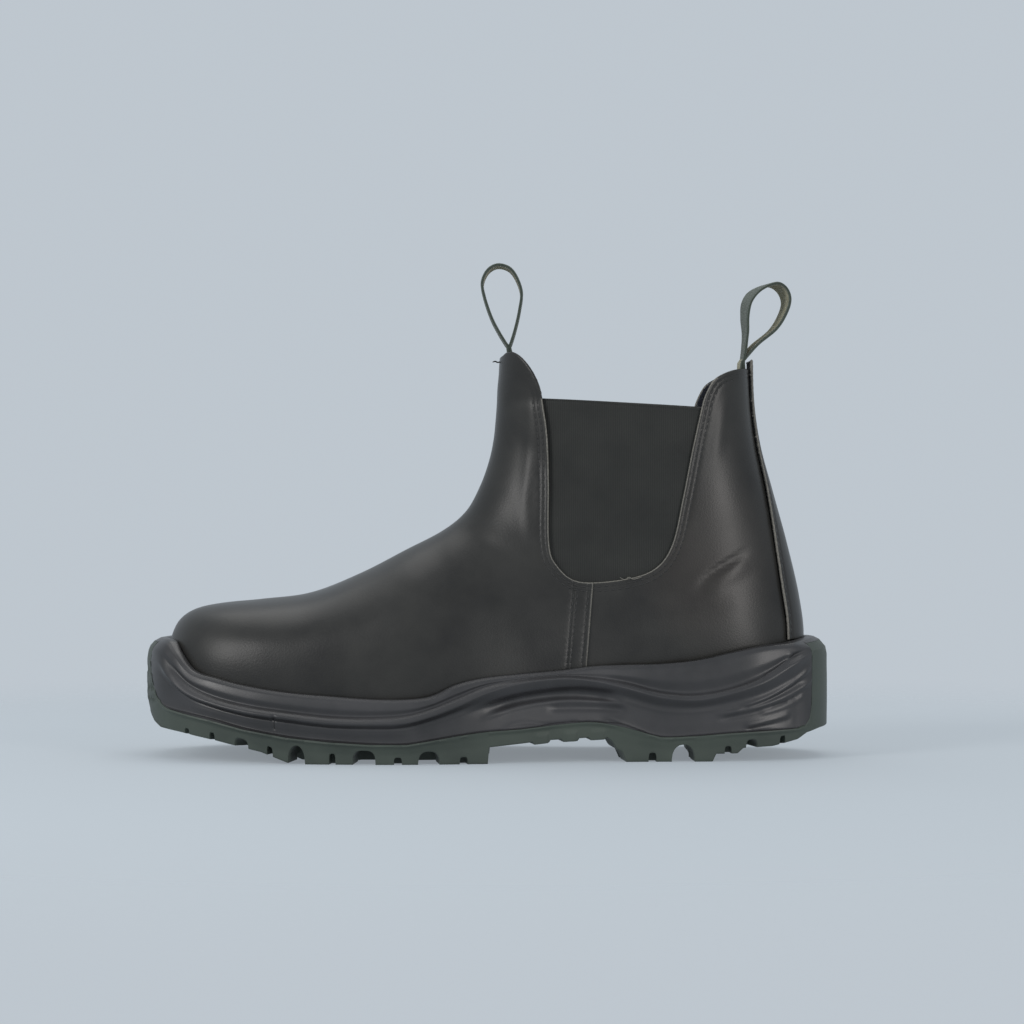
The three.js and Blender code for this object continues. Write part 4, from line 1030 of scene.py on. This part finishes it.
# One loop: the band's middle line goes up from its tail inside the collar, around the loop and back down
# to a second tail layer. Its section is a flat strip with rounded edges, bent a little across so that the
# tails follow the curved collar.
def buildLoop(name, node, rows, base, bulge, height, turns, end):
    inward = 1.0 if end == 0 else -1.0
    outer = softLine(np.vstack([rows * [bulge, height], rows[:1] * [bulge, height]]), 130)
    clockwise = np.sum(outer[:-1, 0] * outer[1:, 1] - outer[1:, 0] * outer[:-1, 1]) < 0
    middle = offsetLine(outer, (-1 if clockwise else 1) * loop["thickness"] / 2)
    middle = middle[(middle[:, 1] > 2.2)]
    if (middle[0, 0] > middle[-1, 0]) == (end == 0):
        middle = middle[::-1]
    start = np.linspace(base[1] - loop["tail"], base[1] - 1.5, 9)
    wall = innerWall(start, end)
    tail = lambda layer: np.column_stack([wall + inward * (layer + 0.5) * loop["thickness"], start])
    first, second = tail(0.1), tail(1.15)[::-1]
    path = np.vstack([first, middle + base, second])
    path = evenLine(softLine(path, 6 * len(path)), 0.9)
    _, normal = lineWays(path)
    count = loop["across"]
    across = np.concatenate([np.linspace(-1, 1, count), np.linspace(1, -1, count)])
    face = np.concatenate([np.ones(count), -np.ones(count)])
    edge = 1 - 0.55 * np.clip((np.abs(across) - 0.93) / 0.07, 0, 1) ** 2
    y = across * loop["width"] / 2
    out = face * edge * loop["thickness"] / 2
    down = 1 - smoothStep(base[1] - 9, base[1] - 2, path[:, 1])
    bend = inward * 1.05 * (np.abs(y) / (loop["width"] / 2)) ** 2.3
    shift = down[:, None] * bend[None, :]
    above = path[:, 1] > base[1]
    progress = np.clip((np.cumsum(above) - 1) / above.sum(), 0, 1)
    spin = np.radians(np.interp(progress, *np.array(turns).T)) * smoothStep(base[1], base[1] + 10, path[:, 1])
    x = path[:, :1] + normal[:, :1] * out - base[0] + shift
    points = np.stack([base[0] + x * np.cos(spin)[:, None] - y * np.sin(spin)[:, None],
                       x * np.sin(spin)[:, None] + y * np.cos(spin)[:, None],
                       path[:, 1:] + normal[:, 1:] * out], axis=-1)
    n, m = points.shape[:2]
    quads = gridQuads(n, m)
    column = np.arange(n * m).reshape(n, m)
    half = np.arange(count - 1)
    capQuads = lambda row: np.stack([column[row, half], column[row, half + 1],
                                     column[row, m - 2 - half], column[row, m - 1 - half]], 1)
    faces = np.vstack([quads, capQuads(0), capQuads(n - 1)[:, ::-1]])
    length = np.repeat(np.arange(n) * 0.9, m)
    uv = np.column_stack([np.tile(y, n), length])
    inner = np.tile(face > 0, n - 1)
    loopSide = np.concatenate([inner, np.zeros(2 * (count - 1), bool)])
    middleRow = n // 2
    outside = points[middleRow, 0] - points[middleRow, -1]
    centre = points[:, :, [0, 2]].reshape(-1, 2)[points[:, :, 2].ravel() > base[1] + 2].mean(0)
    faceIsInner = np.dot(outside[[0, 2]], centre - points[middleRow, 0][[0, 2]]) > 0
    slots = np.where(loopSide == faceIsInner, 1, 0)
    slots[len(inner):] = 0
    rim = np.tile(np.abs(across + np.roll(across, -1)) / 2 > 0.93, n - 1)
    slots[:len(rim)][rim] = 0
    flat = points.reshape(-1, 3)
    middlePoints = np.repeat(points.mean(axis=1), m, axis=0)
    normals = vertexNormals(flat, quads)
    if np.einsum("ij,ij->i", normals, flat - middlePoints).mean() < 0:
        faces = faces[:, ::-1]
    piece = makeMesh(name, flat, faces, [webbingFace, webbingBack], slots, sharp=50, uv=uv)
    return finishPiece(piece, "webbing", node)


frontBase = (side["goreFront"] - side["tabLength"] + 4.2, form["height"] + form["gap"])
backBase = (goreLine[-1, 0] + side["quarterLength"] - 5.7, collarBack + form["gap"])
buildLoop("pullLoopFront", "pull_loop_front", frontLoop, frontBase, 18.9, 39.2, frontTurns, 0)
buildLoop("pullLoopBack", "pull_loop_back", backLoop, backBase, 21.3, 38.5, backTurns, 2)
print("pull loops made")


# loose thread ends: pixels of the photograph, depth of their plane, radius, finish
looseThreads = [
    ("threadTab", [(501, 361.0), (498, 362.4), (495, 361.4), (492.5, 362.2)], -3.0, 0.32, thread),
    ("threadGore", [(620, 577.5), (625, 580.0), (629, 577.5), (634, 579.3), (642, 577.0)], -37.0, 0.22,
     rawEdge),
]


# A thin round tube along a soft line in side view.
def buildThread(name, pixels, depth, radius, material):
    line = softLine(fromPhoto(pixels, depth), 40)
    middle = Vector((*line[len(line) // 2] - [0.0, 4.0], 0.0)).xzy
    hit, _, _, _ = quarterTree.ray_cast(middle + Vector((0, -150, 0)), Vector((0, 1, 0)))
    if hit is not None:
        depth = hit.y - 0.3
    way, _ = lineWays(line)
    turn = np.linspace(0, 2 * np.pi, 8, endpoint=False)
    size = radius * np.sin(np.pi * np.linspace(0.06, 0.94, len(line)))[:, None] ** 0.4
    points = np.stack([line[:, :1] - way[:, 1:] * size * np.cos(turn), depth + size * np.sin(turn),
                       line[:, 1:] + way[:, :1] * size * np.cos(turn)], axis=-1).reshape(-1, 3)
    ring = np.arange(8)
    count = len(line) * 8
    ends = np.vstack([np.stack([np.full(8, count), (ring + 1) % 8, ring], 1),
                      np.stack([np.full(8, count + 1), count - 8 + ring, count - 8 + (ring + 1) % 8], 1)])
    faces = np.vstack([quadsToTriangles(gridQuads(len(line), 8)), ends])
    points = np.vstack([points, [line[0, 0], depth, line[0, 1]], [line[-1, 0], depth, line[-1, 1]]])
    normals = vertexNormals(points, faces)
    if ((points[:, 1] - depth) * normals[:, 1]).mean() < 0:
        faces = faces[:, ::-1]
    return finishPiece(makeMesh(name, points, faces, [material]), "leather")


for row in looseThreads:
    buildThread(*row)


# sole
midsoleShape = {"stations": 1060, "depth": 14.0, "rows": 80, "tuck": 4.0, "levels": (-0.2, 7.0, 14.0, 21.0)}
# over the rim: share of the way from the edge to the leather, how far short of it, drop
rimRound = [(0.35, 1.2, -0.25), (0.8, 1.2, -0.3), (1.0, 1.2, -0.1), (1.0, 0.9, 0.3), (1.0, 0.35, 1.2)]
# ribs and grooves of the sole's side: height out of the surface, half width, depth of the plane that the
# photograph's pixels are read on, the line in pixels
sideRibs = [
    (0.65, 1.15, -34, [(737, 707), (767, 697), (791, 684), (806, 673), (813, 664)]),
    (0.75, 1.15, -36, [(712, 715), (753, 707), (780, 699), (800, 690), (816, 680)]),
    (0.45, 1.00, -36, [(757, 713), (775, 709), (792, 703), (808, 694)]),
    (0.60, 1.10, -38, [(742, 726), (758, 723), (775, 719.5), (793, 714)]),
    (0.50, 0.95, -36, [(762, 677.5), (774, 671), (786, 662), (794, 652)]),
    (-0.50, 1.0, -36, [(735, 711.5), (765, 701.5), (790, 689), (806, 679)]),
    (-0.50, 1.0, -36, [(716, 720), (755, 712), (782, 704), (806, 694)]),
    (-0.40, 1.0, -38, [(744, 730.5), (772, 724.5), (794, 719)]),
    (-1.1, 2.0, -46, [(483, 711), (523, 698.5), (577, 692), (622, 697)]),
    (0.75, 1.15, -46, [(477, 719.5), (519, 707), (563, 701.5), (603, 703.0), (628, 705)]),
    (-0.75, 1.4, -46, [(545, 709), (570, 708.5), (600, 709), (628, 711)]),
    (0.40, 0.9, -48, [(500, 728), (523, 723), (550, 724.5), (583, 721.5)]),
    (0.80, 0.9, -42, [(603, 720.5), (613, 722.5), (630, 729), (648, 736)]),
    (-0.6, 0.45, -52, [(273.7, 714), (273.7, 722), (273.7, 731)]),
    (0.90, 3.2, -50, [(170, 692), (182, 703), (205, 711), (240, 718), (290, 725), (350, 730), (420, 730)]),
]


# Relief of the side in millimetres from the ribs' lines, fading at each line's ends.
def ribRelief(points):
    flat = points[:, [0, 2]]
    relief = np.zeros(len(points))
    for height, width, depth, line in sideRibs:
        line = softLine(fromPhoto(line, depth), 30)
        near = (flat > line.min(0) - 6).all(axis=1) & (flat < line.max(0) + 6).all(axis=1)
        away, along = lineDistance(line, flat[near])
        length = np.linalg.norm(np.diff(line, axis=0), axis=1).sum()
        fade = smoothStep(0, 0.16, along / length) * smoothStep(0, 0.12, 1 - along / length)
        relief[near] += height * bell(away, width) * fade
    return relief


# Ways around the outline, with the ends of the lug gaps set double so that their walls stand upright.
def stationWays(count, edges=()):
    ways = np.linspace(0, girth, count, endpoint=False)
    for edge in edges:
        ways = ways[np.abs(ways - edge) > 0.3]
    extra = [edge + step for edge in edges for step in (-0.3, -0.03, 0.03, 0.3)]
    return np.sort(np.mod(np.concatenate([ways, extra]), girth))


# The number, with a fraction, of the rail where the ledge cuts each station.
def splitRail(heights, share):
    return np.clip(railOfHeight(heights, ledgeAt(share)), lipRail, len(heights) - 1.9)


# The midsole as a closed ring: up its side between ledge and rim, over the rim to the leather, down
# behind the leather and back under to the ledge.
def buildMidsole():
    ways = stationWays(midsoleShape["stations"])
    plan, out, share = outlineAt(ways)
    heights, outsets = railTable(share)
    start = splitRail(heights, share)
    tree = treeOf(*lastSurface(0.0, 200, 160))
    levels = midsoleShape["levels"]
    rim = readRails(heights, np.full(len(ways), len(heights) - 1.0))
    reach = np.zeros((len(levels), len(ways)))
    for k, level in enumerate(levels):
        for n, ((x, y), (ox, oy), z) in enumerate(zip(plan, out, rim - level)):
            _, _, _, away = tree.ray_cast(Vector((x, y, z)), Vector((-ox, -oy, 0)), 60)
            reach[k, n] = away if away is not None else -1
    last = len(levels) - 1
    met = reach[0] >= 0
    reach[0] = np.interp(ways, ways[met], reach[0][met], period=girth)
    for k in range(1, len(levels)):
        reach[k] = np.where(reach[k] < 0, reach[k - 1] + 1.5, reach[k])
    smooth = np.ones(9) / 9
    reach = np.stack([np.convolve(np.pad(row, 4, mode="wrap"), smooth, "valid") for row in reach])
    rows = []
    place = lambda outset, z: np.column_stack([plan + np.reshape(outset, (-1, 1)) * out, z])
    ledge = readRails(heights, start)
    base = np.minimum(ledge, rim - 2)
    rows.append(place(-midsoleShape["depth"], base))
    rows.append(place(-midsoleShape["tuck"], ledge))
    for v in np.linspace(0, 1, midsoleShape["rows"]):
        rail = start + (len(heights) - 1 - start) * v
        rows.append(place(readRails(outsets, rail), readRails(heights, rail)))
    skin = len(rows)
    edge = outsets[-1]
    for part, short, drop in rimRound:
        rows.append(place(edge * (1 - part) - part * np.maximum(reach[0] - short, 0.2), rim - drop))
    rows.append(place(-reach[0] - 0.7, rim - 1.9))
    for k in range(1, len(levels)):
        step = np.minimum(1.5 * (last + 1 - k), (rim - 1.9 - base) * (1 - k / (last + 1)))
        low = np.maximum(rim - levels[k], base + step)
        rows.append(place(-np.minimum(reach[k] + 0.8, midsoleShape["depth"] + 6), low))
    points = np.stack(rows)
    quads = gridQuads(len(rows), len(ways), over=True)
    # only the side's own rows carry ribs
    normals = vertexNormals(points.reshape(-1, 3), quads).reshape(points.shape)
    middle = points[2:skin].reshape(-1, 3)
    outward = np.repeat(out[None], skin - 2, axis=0).reshape(-1, 2)
    normal = normals[2:skin].reshape(-1, 3)
    if np.einsum("ij,ij->i", normal[:, :2], outward).mean() < 0:
        quads, normal = quads[:, ::-1], -normal
    edges = np.minimum(np.arange(2, skin) - 2, skin - 1 - np.arange(2, skin))
    weight = np.repeat(smoothStep(0, 4, edges.astype(float)), len(ways))
    points[2:skin] = (middle + (ribRelief(middle) * weight)[:, None] * normal).reshape(skin - 2, -1, 3)
    piece = makeMesh("midsoleCup", points.reshape(-1, 3), quads, [moulded], sharp=48)
    return finishPiece(piece, "foam", "midsole")


buildMidsole()
print("midsole made")

lug = {"gap": 10.0, "depth": 8.0, "reach": 24.0, "channel": 4.5, "channelDepth": 3.2, "arm": 16.0,
       "ribWidth": 6.0, "ribDrop": 1.2}
# along, width, depth and reach as shares of the sizes above, then how square its roof is
lugGaps = np.array([
    [0.073, 0.25, 0.28, 0.30, 4.0], [0.111, 0.25, 0.38, 0.32, 4.0], [0.154, 0.62, 0.46, 0.75, 3.0],
    [0.195, 0.26, 0.48, 0.34, 4.0], [0.233, 0.74, 1.00, 0.95, 2.2], [0.284, 0.28, 0.58, 0.34, 4.0],
    [0.329, 0.98, 0.76, 1.00, 3.2], [0.377, 0.34, 0.38, 0.34, 4.0], [0.421, 0.92, 0.70, 0.95, 2.6],
    [0.470, 0.34, 0.38, 0.34, 4.0], [0.738, 0.34, 0.48, 0.34, 4.0], [0.782, 1.00, 0.92, 2.60, 2.3],
    [0.846, 0.30, 0.40, 0.34, 4.0], [0.880, 0.50, 0.44, 0.60, 3.0], [0.925, 0.26, 0.42, 0.34, 4.0],
])
chevrons = [0.262, 0.300, 0.338, 0.376, 0.414, 0.452]
archRibs = [0.580, 0.621, 0.660]
outsoleShape = {"stations": 1250, "wall": 13, "outer": 26, "inner": 12, "spineInset": 34.0, "spineSide": 1.5,
                "seat": 16.0, "tuck": 4.5, "under": 40.0}
# shares of the length at which the tread steps up or down
treadSteps = (0.505, 0.701, 0.8245, 0.864)
# heights on the toe bumper of its small level notches
bumperNotches = (38.2, 30.6, 25.4)


# Ways around the outline at a share of the length, on the outer and on the inner side.
def waysAt(share):
    x = soleToe + share * soleLength
    heel = int(np.argmax(outlinePoints[:, 0]))
    return (np.interp(x, outlinePoints[:heel, 0], outlineWay[:heel]),
            np.interp(-x, -outlinePoints[heel:, 0], outlineWay[heel:]))


# The outsole as one closed skin: from the hidden top over the ledge, down the wall, around the ground
# edge and inward over the tread to the middle. Lug gaps, channels, chevrons and shank ribs are heights
# of the tread.
def buildOutsole():
    gaps = [(way, row) for row in lugGaps for way in waysAt(row[0])]
    edges = [way + sign * row[1] * lug["gap"] / 2 for way, row in gaps for sign in (-1, 1)]
    edges += [way for step in treadSteps for way in waysAt(step)]
    ways = stationWays(outsoleShape["stations"], edges)
    plan, out, share = outlineAt(ways)
    heights, outsets = railTable(share)
    start = splitRail(heights, share)
    ledge = readRails(heights, start) - 0.12
    spine = np.column_stack([np.clip(plan[:, 0], soleToe + outsoleShape["spineInset"],
                                     -soleToe - outsoleShape["spineInset"]),
                             np.full(len(ways), outsoleShape["spineSide"])])
    roof, depthIn = np.zeros(len(ways)), np.zeros(len(ways))
    for way, row in gaps:
        away = np.abs((ways - way + girth / 2) % girth - girth / 2) / (row[1] * lug["gap"] / 2)
        rise = row[2] * lug["depth"] * np.clip(1 - away ** row[4], 0, None) ** (1 / row[4])
        depthIn = np.where((away < 1) & (rise > roof), row[3] * lug["reach"], depthIn)
        roof = np.maximum(roof, np.where(away < 1, rise, 0))

    # height of the tread at a distance in from the outline
    def treadAt(flat, distance):
        here = (flat[:, 0] - soleToe) / soleLength
        steady = smoothStep(0.14, 0.22, share) * (1 - smoothStep(0.87, 0.93, share))
        seen = steady * share + (1 - steady) * here
        z = groundAt(seen)
        rib = sum(smoothStep(lug["ribWidth"] / 2 + 1, lug["ribWidth"] / 2, np.abs(seen - r) * soleLength)
                  for r in archRibs)
        z = z - lug["ribDrop"] * rib
        z = z + roof * smoothStep(depthIn + 0.5, depthIn - 0.5, np.full(len(ways), distance))
        nearSide = lug["reach"] - lug["channel"]
        channel = smoothStep(nearSide - 0.3, nearSide + 0.3, distance)
        channel = channel * (1 - smoothStep(lug["reach"] - 0.3, lug["reach"] + 0.3, distance))
        across = np.abs(flat[:, 1] - outsoleShape["spineSide"])
        vee = sum(smoothStep(lug["channel"] / 2 + 0.5, lug["channel"] / 2 - 0.5,
                             np.abs(flat[:, 0] - soleToe - c * soleLength - across / 2))
                  * (across < lug["arm"]) for c in chevrons)
        cut = np.maximum(channel, vee) * lug["channelDepth"]
        return np.maximum(z, cut)

    place = lambda flat, z: np.column_stack([flat, z])
    move = lambda outset: plan + np.asarray(outset).reshape(-1, 1) * out
    floor = treadAt(plan, 0.0)
    floor = np.minimum(floor, ledge - 0.8)
    seatTop = np.minimum(ledge, form["cup"] * smoothAt(sideLines[:, 0], sideLines[:, 1], share)[:, 0])
    rows = [place(spine, np.minimum(np.maximum(floor, groundAt(share)) + 3.0, seatTop)),
            place(move(-outsoleShape["seat"]), seatTop), place(move(-outsoleShape["tuck"]), ledge)]
    for v in np.linspace(0, 1, outsoleShape["wall"]):
        z = ledge * (1 - v) + (floor + 0.55) * v
        outset = readRails(outsets, np.clip(railOfHeight(heights, z), 0, start))
        ribs = sum(bell(np.abs(share - r) * soleLength, 3.4) for r in archRibs)
        blocks = 0.6 * smoothStep(0.35, 0.75, ribs) * smoothStep(5.0, 3.6, z - floor)
        notches = sum(bell(z - h, 0.75) for h in bumperNotches) * smoothStep(0.03, 0.015, share)
        bead = (0.6 - 0.35 * smoothStep(0.36, 0.5, share)) * bell(z - ledge + 0.7, 0.75)
        rows.append(place(move(outset + blocks + bead - 0.8 * notches), z))
    last = outset + blocks
    rows.append(place(move(last - 0.12), floor + 0.2))
    rows.append(place(move(last - 0.5), floor))
    tread = np.concatenate([np.linspace(1.2, lug["reach"] - lug["channel"] - 0.4, outsoleShape["outer"] - 6),
                            lug["reach"] - lug["channel"] + np.array([0.4, 2.2, 4.1, 4.9])])
    for distance in tread:
        flat = move(-distance)
        rows.append(place(flat, np.minimum(treadAt(flat, distance), ledge - 0.6)))
    inner = move(-tread[-1])
    for part in np.linspace(0, 1, outsoleShape["inner"] + 1)[1:]:
        flat = inner + part * (spine - inner)
        rows.append(place(flat, np.minimum(treadAt(flat, outsoleShape["under"]), ledge - 0.6)))
    points = np.stack(rows)
    quads = gridQuads(len(rows), len(ways))
    outward = vertexNormals(points.reshape(-1, 3), quads).reshape(points.shape)[8, :, :2]
    if np.einsum("ij,ij->i", outward, out).mean() < 0:
        quads = quads[:, ::-1]
    piece = makeMesh("outsoleTread", points.reshape(-1, 3), quads, [rubber], sharp=32)
    return finishPiece(piece, "rubber", "outsole")


buildOutsole()
print("outsole made")


# insole: the CAD's own footbed with a textile finish
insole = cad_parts["insole"]
insole.data.materials.clear()
insole.data.materials.append(footbed)


# floor, light and camera
stage = {"radius": 0.75, "fadeFrom": 0.26, "fadeTo": 0.64, "room": (190, 198.5, 206.5),
         "floor": (0.263, 0.289, 0.308), "glow": 0.42}


# The floor: a disc that fades into the even room colour away from the boot.
def buildFloor():
    radius = np.array([0.001, 0.1, 0.2, 0.3, 0.45, 0.6, stage["radius"]]) * 1000
    turn = np.linspace(0, 2 * np.pi, 96, endpoint=False)
    points = np.stack([np.outer(radius, np.cos(turn)), np.outer(radius, np.sin(turn)),
                       np.zeros((len(radius), 96))], axis=-1).reshape(-1, 3)
    material, tree, main = makeMaterial("floor", Roughness=0.9, Specular_IOR_Level=0.1,
                                        Base_Color=(*stage["floor"], 1.0), Emission_Strength=stage["glow"],
                                        Emission_Color=linearColor(*stage["room"]))
    place = placeOf(tree)
    tree.links.new(bumpOf(tree, noiseOf(tree, place, 300.0), 0.02, 0.0002), main.inputs["Normal"])
    away = addNode(tree, "ShaderNodeVectorMath", {"operation": "LENGTH"}, _0=place).outputs["Value"]
    fade = addNode(tree, "ShaderNodeMapRange", {"interpolation_type": "SMOOTHSTEP"}, Value=away,
                   From_Min=stage["fadeFrom"], From_Max=stage["fadeTo"], To_Min=1.0, To_Max=0.0)
    tree.links.new(fade.outputs[0], main.inputs["Alpha"])
    piece = makeMesh("floor", points - centring, gridQuads(len(radius), 96), [material])
    return piece


buildFloor()


# A soft rectangular light, its front turned along the line from its place to a point of the boot.
def addLight(name, at, size, power, color, target=(0.0, 0.0, 0.08)):
    light = bpy.data.lights.new(name, "AREA")
    light.shape, (light.size, light.size_y) = "RECTANGLE", size
    light.energy, light.color = power, color
    lamp = bpy.data.objects.new(name, light)
    lamp.location = at
    lamp.rotation_euler = (Vector(target) - Vector(at)).to_track_quat("-Z", "Y").to_euler()
    bpy.context.scene.collection.objects.link(lamp)


lights = [
    ("top", (0.0, 0.6, 1.8), (1.6, 1.4), 13.0, (1.0, 0.98, 0.95)),
    ("frontLeft", (-1.0, -0.85, 0.7), (0.45, 0.8), 9.0, (1.0, 0.98, 0.96)),
    ("frontRight", (1.05, -1.2, 0.35), (0.35, 1.0), 9.0, (1.0, 0.96, 0.93)),
]
for lamp in lights:
    addLight(*lamp)
world = bpy.data.worlds.new("room")
world.use_nodes = True
world.node_tree.nodes["Background"].inputs["Color"].default_value = linearColor(*stage["room"])
world.node_tree.nodes["Background"].inputs["Strength"].default_value = 1.0
bpy.context.scene.world = world
bpy.context.scene.view_settings.view_transform = "Standard"

lens = bpy.data.cameras.new("camera")
lens.sensor_width = 36.0
lens.lens = lens.sensor_width * view["distance"] / (1024 * view["scale"])
lens.clip_start = 0.05
eye = bpy.data.objects.new("camera", lens)
eye.location = (view["side"] * 0.001, (centring[1] - view["distance"]) * 0.001, view["height"] * 0.001)
eye.rotation_euler = (math.radians(90), 0, 0)
bpy.context.scene.collection.objects.link(eye)
bpy.context.scene.camera = eye
print("stage set")

graph = bpy.context.evaluated_depsgraph_get()
counts = {o.name: sum(len(f.vertices) - 2 for f in o.evaluated_get(graph).data.polygons)
          for o in bpy.context.scene.objects if o.type == "MESH" and not o.hide_render}
print("triangles:", sum(counts.values()), counts)
